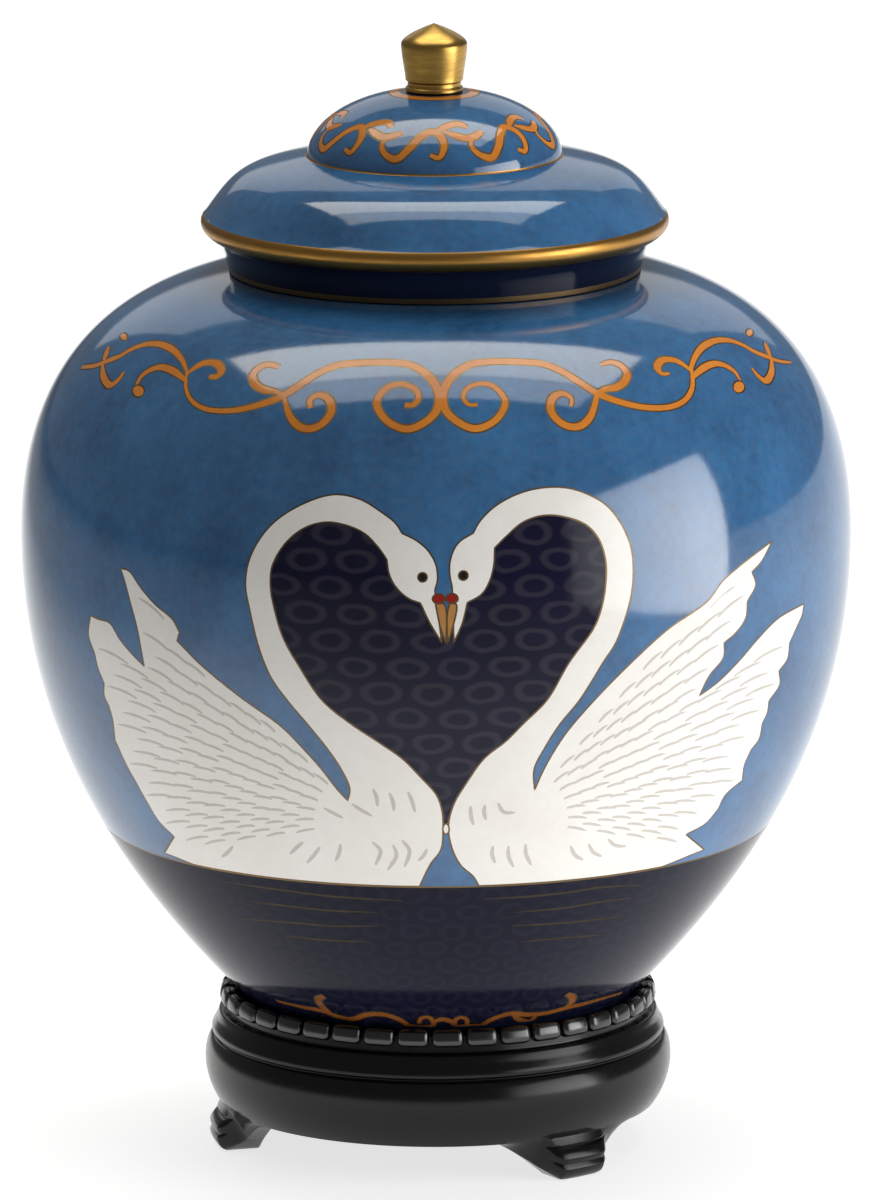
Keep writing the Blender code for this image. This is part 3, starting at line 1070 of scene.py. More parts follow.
@dataclass(frozen=True)
class SwanPicture:
    """Two plain swans that face each other on dark water, their necks round a heart-shaped ground.

    The points are places in the camera's frame.
    """

    waterline: float = 81.0 * MM
    left_swan: Strokes = (
        (
            (437.5, 579.9), (435.8, 564.4), (428.0, 550.6), (416.0, 540.3), (402.2, 533.4),
        ),
        (
            (395.3, 523.0), (379.8, 511.0), (359.2, 498.9), (333.3, 494.6), (298.9, 505.8),
            (269.6, 526.5), (250.7, 555.8), (245.5, 583.3), (250.7, 614.3), (259.3, 648.8),
            (271.3, 678.0), (287.0, 700.0), (310.8, 728.2), (328.2, 749.9), (341.2, 769.4),
            (349.8, 788.9), (347.7, 800.8),
        ),
        (
            (336.8, 788.9), (321.7, 769.4), (304.3, 749.9), (280.5, 726.0), (241.2, 697.8),
            (202.4, 666.3), (177.0, 640.9),
        ),
        ((179.4, 632.4),),
        (
            (172.1, 619.1), (155.1, 604.5), (140.6, 587.6), (128.5, 570.6), (120.6, 568.2),
        ),
        (
            (124.8, 581.5), (130.9, 604.5), (137.0, 627.6), (144.2, 666.3),
        ),
        (
            (132.1, 654.2), (120.0, 639.7), (109.1, 622.7), (98.2, 619.0), (90.5, 615.5),
        ),
        ((88.5, 634.8), (94.5, 653.0)),
        ((98.2, 668.8), (104.2, 683.3)),
        ((104.2, 695.4), (109.1, 706.3)),
        ((112.7, 719.6), (115.1, 740.0)),
        ((126.5, 765.0), (137.3, 784.6)),
        ((148.2, 804.1), (159.0, 821.4), (174.2, 836.6)),
        ((164.4, 852.9),),
        (
            (221.9, 874.0), (280.5, 884.0), (347.7, 889.0), (417.0, 892.0),
        ),
        (
            (430.1, 864.8), (440.9, 849.6), (443.1, 830.1), (442.0, 810.6), (436.6, 795.4),
            (421.4, 778.1), (401.9, 758.5), (380.2, 743.4), (347.7, 721.7), (321.7, 700.0),
            (298.9, 666.0), (283.4, 638.4), (274.8, 610.9), (270.5, 586.8), (272.2, 566.1),
            (285.1, 543.7), (304.0, 528.2), (326.4, 522.2), (347.1, 525.6), (364.3, 533.4),
            (378.1, 547.2), (386.7, 559.2),
        ),
        (
            (389.3, 574.7), (397.0, 588.5), (409.1, 598.8), (420.3, 603.1),
        ),
        ((429.8, 622.9), (441.8, 642.7)),
        ((434.9, 590.2),),
    )
    right_swan: Strokes = (
        (
            (449.6, 573.0), (450.8, 557.9), (458.2, 543.0), (473.2, 533.0),
        ),
        (
            (479.8, 521.4), (494.7, 506.5), (519.6, 493.2), (546.1, 487.4), (569.3, 488.3),
            (589.2, 494.9), (605.8, 504.8), (620.7, 523.1), (630.7, 546.3), (633.2, 567.9),
            (630.7, 597.7), (615.8, 642.5), (604.2, 660.7), (579.6, 700.0), (560.1, 723.9),
            (544.9, 747.7), (534.1, 769.4), (534.6, 790.0),
        ),
        (
            (542.8, 771.6), (553.6, 752.0), (566.6, 732.5), (592.6, 702.2), (626.3, 667.6),
            (667.8, 629.5), (707.6, 601.3), (722.5, 581.4), (739.1, 566.5), (772.2, 540.8),
        ),
        ((761.5, 561.5), (752.0, 572.0)),
        ((755.7, 584.7), (747.4, 601.3)),
        ((745.7, 617.9), (735.8, 632.8), (724.2, 642.8)),
        ((723.3, 657.7), (709.2, 675.9), (699.3, 695.8)),
        (
            (717.5, 682.5), (739.1, 661.0), (759.0, 637.8), (778.9, 617.9), (803.7, 603.8),
        ),
        ((802.1, 614.6), (797.1, 626.2), (789.6, 642.8)),
        ((787.2, 659.3), (778.9, 670.9)),
        ((779.7, 684.2), (768.9, 700.8)),
        ((767.3, 712.4), (762.3, 723.2)),
        ((759.0, 738.9), (750.9, 749.9)),
        ((744.4, 765.0), (742.2, 780.2)),
        ((724.9, 795.4), (718.4, 808.4)),
        ((705.4, 823.6), (685.9, 834.4)),
        ((704.3, 849.6),),
        (
            (642.5, 873.0), (560.1, 888.0), (482.0, 892.0),
        ),
        (
            (473.4, 876.7), (460.4, 864.8), (451.7, 847.4), (448.4, 825.8), (453.9, 804.1),
            (466.9, 782.4), (484.2, 758.5), (505.9, 741.2), (523.2, 723.9), (547.1, 700.0),
            (569.3, 662.4), (594.2, 627.5), (601.7, 607.6), (605.8, 584.4), (605.8, 561.2),
            (599.2, 539.7), (585.9, 524.7), (562.7, 516.5), (542.8, 515.6), (522.9, 522.3),
            (506.3, 536.4), (494.7, 548.0),
        ),
        (
            (493.9, 564.5), (489.7, 581.1), (481.5, 594.4), (467.4, 602.7),
        ),
        ((462.5, 622.9), (453.9, 642.7)),
        ((452.1, 586.8),),
    )
    heart: Strokes = (
        (
            (395.0, 545.0), (378.0, 528.0), (333.0, 508.0), (280.0, 530.0), (258.0, 585.0),
            (275.0, 650.0), (310.0, 710.0), (380.0, 765.0), (425.0, 800.0), (445.5, 826.0),
        ),
        (
            (470.0, 795.0), (530.0, 735.0), (590.0, 660.0), (620.0, 590.0), (612.0, 535.0),
            (570.0, 502.0), (520.0, 508.0), (486.0, 538.0),
        ),
        ((474.0, 580.0), (448.0, 640.0)),
        ((410.0, 580.0), (395.0, 545.0)),
    )
    left_beak: Strokes = (
        ((443.5, 603.5), (446.4, 612.0), (446.0, 643.0)),
        ((441.0, 630.0), (435.4, 604.0)),
    )
    right_beak: Strokes = (
        ((456.2, 604.0), (452.6, 628.0), (447.4, 643.0)),
        ((447.2, 614.0), (449.6, 603.5)),
    )
    knobs: tuple[Spot, ...] = ((438.6, 598.8), (451.9, 598.5))
    eyes: tuple[Spot, ...] = ((422.5, 577.3), (463.3, 575.6))
    touch: Spot = (446.0, 829.0)
    breast_marks: Strokes = (
        ((373.0, 789.0), (376.5, 797.0), (377.5, 806.0)),
        ((389.5, 793.0), (393.0, 802.0), (394.0, 811.0)),
        ((408.0, 792.0), (412.0, 801.0), (415.0, 812.0)),
        ((324.0, 808.0), (333.0, 813.0), (343.0, 818.0)),
        ((352.0, 804.0), (361.0, 810.0), (372.0, 816.0)),
        ((303.0, 842.0), (296.0, 848.0), (290.0, 854.0)),
        ((320.0, 847.0), (314.0, 855.0), (307.0, 863.0)),
        ((340.5, 844.0), (339.5, 852.0), (335.5, 861.0)),
        ((372.5, 842.0), (380.5, 851.0), (375.5, 865.0)),
        ((393.0, 845.0), (396.5, 855.0), (388.0, 870.0)),
        ((402.0, 840.0), (409.5, 851.0), (404.5, 867.0)),
        ((427.0, 849.0), (424.0, 855.0), (418.5, 861.0)),
        ((233.0, 846.0), (228.0, 852.0), (222.0, 857.0)),
        ((470.5, 806.0), (471.0, 816.0), (473.5, 825.0)),
        ((485.0, 805.0), (484.0, 812.0), (486.0, 820.0)),
        ((498.0, 803.0), (503.5, 812.0), (515.0, 812.5)),
        ((493.0, 846.0), (492.0, 854.0), (495.0, 863.0)),
        ((508.5, 846.0), (508.5, 856.0), (513.5, 867.0)),
        ((525.5, 844.0), (526.0, 854.0), (531.0, 865.0)),
        ((570.5, 846.0), (575.0, 855.0), (583.0, 860.0)),
        ((588.5, 844.0), (593.0, 852.0), (601.5, 856.5)),
        ((608.0, 839.0), (614.5, 845.0), (626.0, 846.5)),
    )
    ripples: Strokes = (
        ((220.0, 881.0), (250.0, 885.7), (295.0, 892.0), (331.0, 896.4), (402.0, 901.0)),
        ((250.0, 901.8), (295.0, 907.0), (331.0, 910.7), (377.0, 912.5)),
        ((241.0, 918.8), (295.0, 923.0), (331.0, 926.0), (379.0, 926.0)),
        ((284.0, 935.7), (322.0, 940.0), (365.0, 942.0)),
        ((485.0, 899.0), (523.0, 897.0), (564.0, 893.0), (601.0, 887.5), (641.0, 885.0)),
        ((514.0, 912.5), (564.0, 908.0), (601.0, 902.0), (632.0, 898.0)),
        ((512.0, 926.0), (564.0, 923.0), (601.0, 919.0), (623.0, 916.0)),
        ((521.0, 942.0), (564.0, 938.0), (601.0, 935.0)),
    )
    mark_width: float = 0.95 * MM
    feather_width: float = 0.72 * MM
    ripple_width: float = 0.62 * MM
    wing_roots: tuple[Spot, Spot] = ((372.0, 822.0), (510.0, 820.0))
    wing_start: float = math.radians(-7.0)
    wing_spread: float = math.radians(57.0)
    first_row: float = 58.0
    last_row: float = 400.0
    row_overlap: float = 0.78
    feather_length: float = 19.0
    feather_growth: float = 0.085
    growth_start: float = 120.0
    feather_gap: float = 12.5
    feather_clearance: float = 3.8

    def cells(self, pen: Pen) -> list[Cell]:
        """Draw the picture, first what lies behind.

        Args:
            pen: the pen for the vessel's sheet.

        Returns:
            The cells in painting order.
        """
        shore = float(pen.sheet.run_at(self.waterline))
        cells = pen.area(pen.outline(self.heart), Tone.NIGHT)
        bodies = []
        for strokes in (self.left_swan, self.right_swan):
            outline = pen.outline(strokes)
            outline[:, 1] = np.minimum(outline[:, 1], shore)
            bodies.append(outline)
            cells += pen.area(outline, Tone.WHITE)
        for strokes in (self.left_beak, self.right_beak):
            cells += pen.area(pen.outline(strokes), Tone.HORN)
        for place in self.knobs:
            cells += pen.dot(place, 6.2, Tone.RED, 0.8)
        cells += pen.dot(self.touch, 3.2, Tone.WHITE, 1.6)
        for place in self.eyes:
            cells += pen.dot(place, 4.6, Tone.EYE)
        for mark in self.breast_marks:
            cells.append(Cell(Tone.THREAD, pen.sheet.ribbon(pen.line(mark), self.mark_width, ends=(0.5, 0.5))))
        for line in self.ripples:
            cells.append(
                Cell(Tone.RIPPLE, pen.sheet.ribbon(pen.line(line), self.ripple_width, ends=(0.3, 0.3)))
            )
        for root, side, body in zip(self.wing_roots, (-1.0, 1.0), bodies):
            cells += self.feathers(pen, root, side, body)
        return cells

    def feathers(self, pen: Pen, root: Spot, side: float, body: np.ndarray) -> list[Cell]:
        """Draw the wing's feathers as short wires in staggered rows that spread from its root.

        Args:
            pen: the pen for the vessel's sheet.
            root: where the wing springs, in the camera's frame.
            side: -1 for a wing that points left and 1 for one that points right.
            body: the swan's outline on the sheet.

        Returns:
            The feathers' wires.
        """
        cells = []
        reach = self.first_row
        ring = 0
        while reach < self.last_row:
            length = self.feather_length + self.feather_growth * max(reach - self.growth_start, 0.0)
            count = int(self.wing_spread * reach / self.feather_gap) + 2
            for number in range(count):
                share = (number + (0.5 if ring % 2 else 0.0)) / count
                angle = self.wing_start + self.wing_spread * share
                along = np.array([side * math.cos(angle), -math.sin(angle)])
                across = np.array([side * math.sin(angle), math.cos(angle)])
                steps = np.linspace(0.0, 1.0, 7)[:, None]
                bend = across * length * (0.20 * steps**2 - 0.12 * steps)
                points = np.array(root) + along * (reach + length * steps) + bend
                beside = self.feather_clearance * across
                clear = np.vstack([points + beside, points - beside])
                if inside_outline(body, pen.sheet.seen(pen.eye, clear)).all():
                    flat = pen.sheet.seen(pen.eye, points)
                    strip = pen.sheet.ribbon(flat, self.feather_width, ends=(0.7, 0.3))
                    cells.append(Cell(Tone.THREAD, strip))
            reach += self.row_overlap * length
            ring += 1
        return cells


@dataclass(frozen=True)
class ShoulderScroll:
    """A running scroll of orange enamel on the shoulder: one half drawn, mirrored, and repeated behind."""

    middle: Spot = (441.0, 398.0)
    width: float = 1.75 * MM
    stems: Strokes = (
        (
            (187.0, 370.5), (185.6, 383.7), (187.6, 393.9), (193.9, 402.8), (206.7, 409.2),
            (232.2, 410.5), (262.4, 403.8), (283.5, 395.3), (303.1, 382.7), (318.6, 372.9),
            (338.2, 365.2), (366.3, 362.6), (394.3, 362.6), (411.2, 365.2), (426.6, 374.3),
            (436.4, 386.9), (439.2, 398.1), (436.4, 410.8), (425.2, 422.0), (408.4, 429.0),
            (392.9, 424.8), (381.7, 415.0), (376.7, 402.2), (383.1, 391.1), (391.7, 385.5),
            (403.8, 384.4), (415.4, 389.7), (418.6, 397.7), (413.4, 404.8), (404.6, 405.2),
        ),
        (
            (283.5, 395.7), (286.3, 406.2), (291.5, 418.8), (301.3, 427.6), (313.0, 428.2),
            (324.2, 422.0), (331.2, 411.2), (328.8, 399.5), (318.6, 394.9), (309.8, 400.5),
            (310.8, 408.0),
        ),
        (
            (283.5, 395.3), (275.9, 391.7), (264.3, 389.7), (255.4, 384.1), (252.6, 376.1),
            (258.2, 368.2), (268.1, 364.5), (279.3, 366.9),
        ),
        (
            (187.0, 371.5), (182.4, 360.7), (173.5, 350.2), (160.8, 344.4), (146.2, 344.1),
            (131.4, 349.2), (119.9, 355.9), (108.5, 360.4), (95.0, 365.5), (81.7, 367.1),
        ),
        (
            (187.0, 382.0), (180.2, 375.8), (171.2, 369.9), (161.0, 367.1), (150.8, 369.6),
            (141.6, 376.0), (136.5, 384.9),
        ),
        (
            (187.0, 374.0), (195.2, 367.4), (204.9, 362.8), (217.4, 363.8), (221.5, 370.6),
            (216.9, 376.5), (209.2, 376.3),
        ),
        ((102.4, 363.0), (103.4, 376.6), (109.7, 385.2), (118.4, 379.6), (123.8, 371.9)),
        ((104.0, 361.0), (108.0, 347.0)),
    )
    balls: tuple[tuple[Spot, float], ...] = (((138.3, 391.0), 6.2), ((123.8, 336.8), 4.0))

    def cells(self, pen: Pen) -> list[Cell]:
        """Draw the scroll in front and behind.

        Args:
            pen: the pen for the vessel's sheet.

        Returns:
            The cells in painting order.
        """
        center = float(pen.sheet.seen(pen.eye, [self.middle])[0, 0])
        halves = [pen.line(stem) for stem in self.stems]
        dots = [pen.dot(place, size, Tone.ORANGE) for place, size in self.balls]
        cells = []
        for angle in (0.0, math.pi):
            lines = []
            for half in halves:
                lines.append((turned_by(half, angle), self.width))
                lines.append((turned_by(mirrored(half, center), angle), self.width))
            cells += pen.scroll(lines)
            for pair in dots:
                for part in pair:
                    cells.append(Cell(part.tone, turned_by(part.outline, angle)))
                    cells.append(Cell(part.tone, turned_by(mirrored(part.outline, center), angle)))
        return cells


@dataclass(frozen=True)
class FootScroll:
    """A loose scroll of orange enamel round the vessel's foot, just above the stand's beads, filled with a
    darkened copy of the orange as painted shade.
    """

    width: float = 1.6 * MM
    stems: Strokes = (
        (
            (276.6, 1001.0), (298.6, 1006.5), (320.5, 1010.6), (339.7, 1017.0), (353.0, 1019.0),
            (367.0, 1014.7), (384.0, 1014.7), (400.0, 1020.0), (409.0, 1026.0), (419.0, 1030.0),
            (430.0, 1029.0), (434.0, 1023.0), (429.0, 1017.5), (421.0, 1018.5), (419.0, 1023.5),
        ),
        ((434.0, 1022.5), (441.0, 1019.5), (448.0, 1020.5), (455.5, 1024.5)),
        (
            (622.0, 993.0), (608.4, 997.0), (583.8, 1004.0), (567.3, 1007.8), (545.4, 1013.3),
            (526.0, 1014.7), (512.0, 1013.5), (493.0, 1019.0), (484.0, 1024.0), (475.0, 1029.0),
            (464.0, 1031.0), (455.5, 1027.0), (455.0, 1020.5), (461.0, 1017.5), (467.0, 1020.0),
            (467.0, 1025.0),
        ),
        ((331.0, 1013.0), (322.0, 1006.5), (318.0, 999.5), (324.0, 996.0)),
        ((560.0, 1010.0), (570.0, 1004.5), (573.0, 998.0), (567.0, 994.0)),
        ((512.0, 1013.5), (520.0, 1020.0), (530.0, 1021.0), (536.0, 1016.0)),
    )

    def cells(self, pen: Pen) -> list[Cell]:
        """Draw the scroll in front and repeat it behind.

        Args:
            pen: the pen for the vessel's sheet.

        Returns:
            The cells in painting order.
        """
        lines = [pen.line(stem) for stem in self.stems]
        cells = []
        for angle in (0.0, math.pi):
            # Painted shade: the scroll is filled with the darkened copy of the orange enamel.
            cells += pen.scroll([(turned_by(line, angle), self.width) for line in lines], Tone.RUST)
        return cells


@dataclass
class Vessel:
    """The jar: a copper sheet turned to a shoulder, belly and foot ring, enamelled outside and in."""

    base: float = 29.7 * MM
    height: float = 184.6 * MM
    body_radius: float = 100.0 * MM
    waist_height: float = 121.0 * MM
    neck_radius: float = 49.5 * MM
    mouth_land: float = 5.0 * MM
    foot_radius: float = 46.5 * MM
    foot_ring_height: float = 7.0 * MM
    foot_cove: float = 2.4 * MM
    foot_recess: float = 3.0 * MM
    wall: float = 2.0 * MM
    shoulder_slope: float = 9.6
    shoulder_fullness: float = 0.525
    waist_fullness_above: float = 0.565
    waist_fullness_below: float = 0.397
    heel_fullness: float = 0.403
    heel_slope: float = 45.6
    columns: int = 144
    picture: SwanPicture = field(default_factory=SwanPicture)
    shoulder_scroll: ShoulderScroll = field(default_factory=ShoulderScroll)
    foot_scroll: FootScroll = field(default_factory=FootScroll)

    def line(self, shoulder_steps: int, belly_steps: int) -> list[Vector]:
        """Give the outer line from the neck down to the heel.

        Args:
            shoulder_steps: spans above the waist.
            belly_steps: spans below the waist.

        Returns:
            Points of radius and level.
        """
        neck = Vector((self.neck_radius, self.base + self.height))
        waist = Vector((self.body_radius, self.base + self.waist_height))
        heel = Vector(
            (self.foot_radius + self.foot_cove, self.base + self.foot_ring_height + self.foot_cove)
        )
        upper = neck.y - waist.y
        lower = waist.y - heel.y
        down = heading(90.0)
        shoulder = bezier(
            neck,
            neck + heading(self.shoulder_slope) * upper * self.shoulder_fullness,
            waist - down * upper * self.waist_fullness_above,
            waist,
            shoulder_steps,
        )
        belly = bezier(
            waist,
            waist + down * lower * self.waist_fullness_below,
            heel + heading(-self.heel_slope) * lower * self.heel_fullness,
            heel,
            belly_steps,
        )
        return shoulder + belly[1:]

    def walls(self) -> bpy.types.Object:
        """Turn the inside, the mouth, the foot ring and the underside.

        Returns:
            One open shell that meets the skin at the neck and at the heel.
        """
        mouth = Vector((self.neck_radius - self.mouth_land, self.base + self.height))
        foot_top = Vector((self.foot_radius, self.base + self.foot_ring_height))
        foot_edge = Vector((self.foot_radius, self.base))
        outer = [mouth] + self.line(14, 18) + [foot_top, foot_edge]
        inner = inside_of(outer, self.wall)
        ring = self.foot_radius - self.wall
        floor = self.base + self.foot_recess + self.wall
        cavity = [Vector((0.0, floor)), Vector((ring - 2.0 * MM, floor))] + inner[-3:0:-1]
        inside = cavity + [Vector((mouth.x, mouth.y - self.wall)), mouth, outer[1]]
        outside = [
            outer[-3],
            foot_top,
            foot_edge,
            Vector((ring, self.base)),
            Vector((ring, self.base + self.foot_recess)),
            Vector((0.0, self.base + self.foot_recess)),
        ]
        upper = lathe("vessel_inside", inside, self.columns)
        lower = lathe("vessel_foot", outside, self.columns)
        select_only(upper, lower)
        bpy.ops.object.join()
        return upper

    def build(self, eye: Eye, materials: dict[Tone, bpy.types.Material]) -> bpy.types.Object:
        """Model the vessel.

        Args:
            eye: the camera that the picture is laid out for.
            materials: the enamels and metals by tone.

        Returns:
            The finished piece.
        """
        sheet = TurnedSheet(self.line(200, 260), self.body_radius)
        pen = Pen(sheet, eye)
        cells = self.picture.cells(pen) + self.shoulder_scroll.cells(pen) + self.foot_scroll.cells(pen)
        shore = float(sheet.run_at(self.picture.waterline))
        bands = [(shore, Tone.BLUE), (shore + 0.5 * MM, Tone.WIRE), (sheet.runs[-1], Tone.NAVY)]
        rows = np.linspace(0.0, sheet.runs[-1], 108)
        inlay = Inlay(sheet, self.columns, rows, bands, cells)
        skin = inlay.skin("vessel_enamelled", [materials[tone] for tone in Tone])
        return close_skin(skin, self.walls(), sheet)


@dataclass
class Lid:
    """The lid: a low crown on a wide dome, a rolled gilt rim and an undercut that sits on the mouth."""

    base: float = 214.6 * MM
    neck_radius: float = 49.5 * MM
    mouth_land: float = 5.0 * MM
    spigot_clearance: float = 0.5 * MM
    spigot_depth: float = 8.0 * MM
    wall: float = 2.0 * MM
    skirt_height: float = 13.4 * MM
    rim_overhang: float = 5.9 * MM
    rim_roll: float = 0.9 * MM
    rim_tuck: float = 1.8 * MM
    rim_thickness: float = 5.0 * MM
    dome_height: float = 14.1 * MM
    crown_radius: float = 30.6 * MM
    crown_height: float = 15.3 * MM
    top_radius: float = 8.5 * MM
    crown_slope: float = 7.9
    crown_fullness: float = 0.629
    crown_edge_slope: float = 89.0
    crown_edge_fullness: float = 0.43
    dome_slope: float = 11.8
    dome_fullness: float = 0.663
    rim_slope: float = 55.2
    rim_fullness: float = 0.95
    skirt_top_slope: float = 28.0
    skirt_foot_slope: float = 76.0
    skirt_fullness: float = 0.5
    spread: float = 55.77 * MM
    columns: int = 144
    scroll_width: float = 1.7 * MM
    scroll_radius: float = 28.0 * MM
    scroll_drop: float = 0.18
    scroll_rise: float = 0.06
    collar_ring: float = 2.2 * MM
    collar_wire: float = 0.4 * MM
    junction_wire: float = 0.7 * MM
    seat_wire: float = 1.3 * MM
    units: int = 8
    first_unit: float = math.radians(-43.9)

    @property
    def rim_level(self) -> float:
        """Level of the rim's upper edge."""
        return self.base + self.skirt_height

    @property
    def crown_level(self) -> float:
        """Level where crown and dome meet."""
        return self.rim_level + self.dome_height

    @property
    def top_level(self) -> float:
        """Level of the crown's flat top."""
        return self.crown_level + self.crown_height

    def line(self, crown_steps: int, dome_steps: int, rim_steps: int, skirt_steps: int) -> list[Vector]:
        """Give the outer line from the crown's flat top down to the seat.

        Args:
            crown_steps: spans on the crown.
            dome_steps: spans on the dome.
            rim_steps: spans on the rolled rim.
            skirt_steps: spans on the undercut.

        Returns:
            Points of radius and level.
        """
        crown_edge = Vector((self.crown_radius, self.crown_level))
        rim_edge = Vector((self.neck_radius + self.rim_overhang, self.rim_level))
        seat_edge = Vector((self.neck_radius, self.base))
        crown_top = Vector((self.top_radius, self.top_level))
        crown = bezier(
            crown_top,
            crown_top + heading(self.crown_slope) * self.crown_fullness * (crown_edge.x - crown_top.x),
            crown_edge - heading(self.crown_edge_slope) * self.crown_edge_fullness * self.crown_height,
            crown_edge,
            crown_steps,
        )
        dome = bezier(
            crown_edge,
            crown_edge + heading(self.dome_slope) * self.dome_fullness * (rim_edge.x - crown_edge.x),
            rim_edge - heading(self.rim_slope) * self.rim_fullness * self.dome_height,
            rim_edge,
            dome_steps,
        )
        under_rim = rim_edge - Vector((self.rim_tuck, self.rim_thickness))
        rim = bezier(
            rim_edge,
            rim_edge + Vector((1.35 * self.rim_roll, -0.2 * self.rim_thickness)),
            under_rim + Vector((1.35 * self.rim_roll + self.rim_tuck, 0.3 * self.rim_thickness)),
            under_rim,
            rim_steps,
        )
        skirt = bezier(
            under_rim,
            under_rim - heading(-self.skirt_top_slope) * self.skirt_fullness * self.rim_overhang,
            seat_edge + heading(-self.skirt_foot_slope) * self.skirt_fullness * self.skirt_height,
            seat_edge,
            skirt_steps,
        )
        return crown + dome[1:] + rim[1:] + skirt[1:]

    def walls(self) -> bpy.types.Object:
        """Turn the flat top, the seat, the spigot and the inside.

        Returns:
            One open shell that meets the skin at the flat top and at the seat.
        """
        spigot = self.neck_radius - self.mouth_land - self.spigot_clearance
        outer = self.line(10, 12, 1, 8)
        foot = [Vector((spigot, self.base)), Vector((spigot, self.base - self.spigot_depth))]
        inner = inside_of(outer + foot, self.wall)
        inside = [outer[-1]] + foot + inner[::-1] + [Vector((0.0, self.top_level - self.wall))]
        lower = lathe("lid_inside", inside, self.columns)
        top = [Vector((0.0, self.top_level)), Vector((self.top_radius, self.top_level))]
        upper = lathe("lid_top", top, self.columns)
        select_only(lower, upper)
        bpy.ops.object.join()
        return lower

    def scroll(self, pen: Pen) -> list[Cell]:
        """Draw the crown's running scroll in equal units.

        Args:
            pen: the pen for the lid's sheet.

        Returns:
            The cells in painting order.
        """
        waves = (
            (
                (0.42, 0.50), (0.38, 0.62), (0.44, 0.76), (0.577, 0.83), (0.70, 0.67), (0.80, 0.48),
                (0.94, 0.36), (1.04, 0.44), (1.08, 0.62), (1.02, 0.80), (0.93, 0.76),
            ),
            ((0.105, 0.37), (0.22, 0.44), (0.35, 0.50), (0.47, 0.47), (0.577, 0.39)),
            ((0.0, 0.37), (0.10, 0.28), (0.22, 0.22), (0.33, 0.22), (0.40, 0.30)),
        )
        top = float(pen.sheet.run_at(self.top_level - self.scroll_drop * self.crown_height))
        foot = float(pen.sheet.run_at(self.crown_level + self.scroll_rise * self.crown_height))
        unit = TURN / self.units
        lines = []
        for number in range(self.units):
            start = self.first_unit + number * unit
            for wave in waves:
                stops = np.array([(start + across * unit, top + (foot - top) * down) for across, down in wave])
                unrolled = (self.scroll_radius, 1.0)
                scaled = smooth_line(stops * unrolled, 0.5 * MM) / unrolled
                lines.append((scaled, self.scroll_width))
        return pen.scroll(lines)

    def build(self, eye: Eye, materials: dict[Tone, bpy.types.Material]) -> bpy.types.Object:
        """Model the lid.

        Args:
            eye: the camera.
            materials: the enamels and metals by tone.

        Returns:
            The finished piece.
        """
        sheet = TurnedSheet(self.line(120, 140, 40, 60), self.spread)
        pen = Pen(sheet, eye)
        junction = float(sheet.run_at(self.crown_level))
        rim = float(sheet.run_at(self.rim_level))
        under = float(sheet.run_at(self.rim_level - self.rim_thickness))
        seat = sheet.runs[-1]
        bands = [
            (self.collar_ring, Tone.ORANGE),
            (self.collar_ring + self.collar_wire, Tone.WIRE),
            (junction - 0.5 * self.junction_wire, Tone.BLUE),
            (junction + 0.5 * self.junction_wire, Tone.GILT),
            (rim, Tone.BLUE),
            (under, Tone.GILT),
            (seat - self.seat_wire, Tone.NECK),
            (seat, Tone.WIRE),
        ]
        rows = np.concatenate(
            [
                np.linspace(0.0, junction, 22),
                np.linspace(junction, rim, 20),
                np.linspace(rim, under, 10),
                np.linspace(under, seat, 12),
            ]
        )
        inlay = Inlay(sheet, self.columns, rows, bands, self.scroll(pen))
        skin = inlay.skin("lid_enamelled", [materials[tone] for tone in Tone])
        return close_skin(skin, self.walls(), sheet)


def rounded(points: Sequence[Vector], reach: float, steps: int = 3) -> list[Vector]:
    """Ease the corners of a section, all but its first and last points.

    Args:
        points: the section's corners.
        reach: how far back from a corner its easing starts.
        steps: spans of each easing.

    Returns:
        The eased section.
    """
    line = [points[0]]
    for before, corner, after in zip(points, points[1:], points[2:]):
        back = min(reach, 0.45 * (before - corner).length)
        ahead = min(reach, 0.45 * (after - corner).length)
        start = corner + (before - corner).normalized() * back
        end = corner + (after - corner).normalized() * ahead
        line += bezier(start, start.lerp(corner, 0.6), end.lerp(corner, 0.6), end, steps)
    return line + [points[-1]]


@dataclass
class Finial:
    """The lid's turned brass knob: a grooved collar, a flared drum and a low pointed top."""

    base: float = 257.7 * MM
    radius: float = 7.95 * MM
    neck_radius: float = 6.9 * MM
    groove: float = 0.5 * MM
    collar_height: float = 2.6 * MM
    flare_height: float = 8.6 * MM
    tip_height: float = 5.0 * MM
    tip_slope: float = 20.0
    tip_fullness: float = 0.35
    waist_lean: float = 4.0
    shoulder_lean: float = 2.0
    columns: int = 96

    def build(self, materials: dict[Tone, bpy.types.Material]) -> bpy.types.Object:
        """Model the knob.

        Args:
            materials: the enamels and metals by tone.

        Returns:
            The finished piece.
        """
        collar_top = self.base + self.collar_height
        shoulder = Vector((self.radius, collar_top + self.flare_height))
        neck = Vector((self.neck_radius, collar_top))
        tip = Vector((0.0, shoulder.y + self.tip_height))
        groove = self.neck_radius - self.groove
        point = bezier(
            tip,
            tip + heading(self.tip_slope) * self.tip_fullness * self.radius,
            shoulder + Vector((0.0, self.tip_fullness * self.tip_height)),
            shoulder,
            14,
        )
        flare = bezier(
            shoulder,
            shoulder + heading(90.0 + self.shoulder_lean) * 0.4 * self.flare_height,
            neck - heading(90.0 + self.waist_lean) * 0.3 * self.flare_height,
            neck,
            10,
        )
        collar = rounded(
            [
                neck,
                Vector((groove, collar_top - 0.15 * self.collar_height)),
                Vector((groove, collar_top - 0.55 * self.collar_height)),
                Vector((self.neck_radius, collar_top - 0.7 * self.collar_height)),
                Vector((self.neck_radius, self.base)),
                Vector((0.0, self.base)),
            ],
            0.15 * MM,
        )
        piece = lathe("finial_brass", point + flare[1:] + collar[1:], self.columns)
        smooth_by_angle(piece, 30.0)
        dress(piece, [materials[Tone.BRASS]])
        return piece


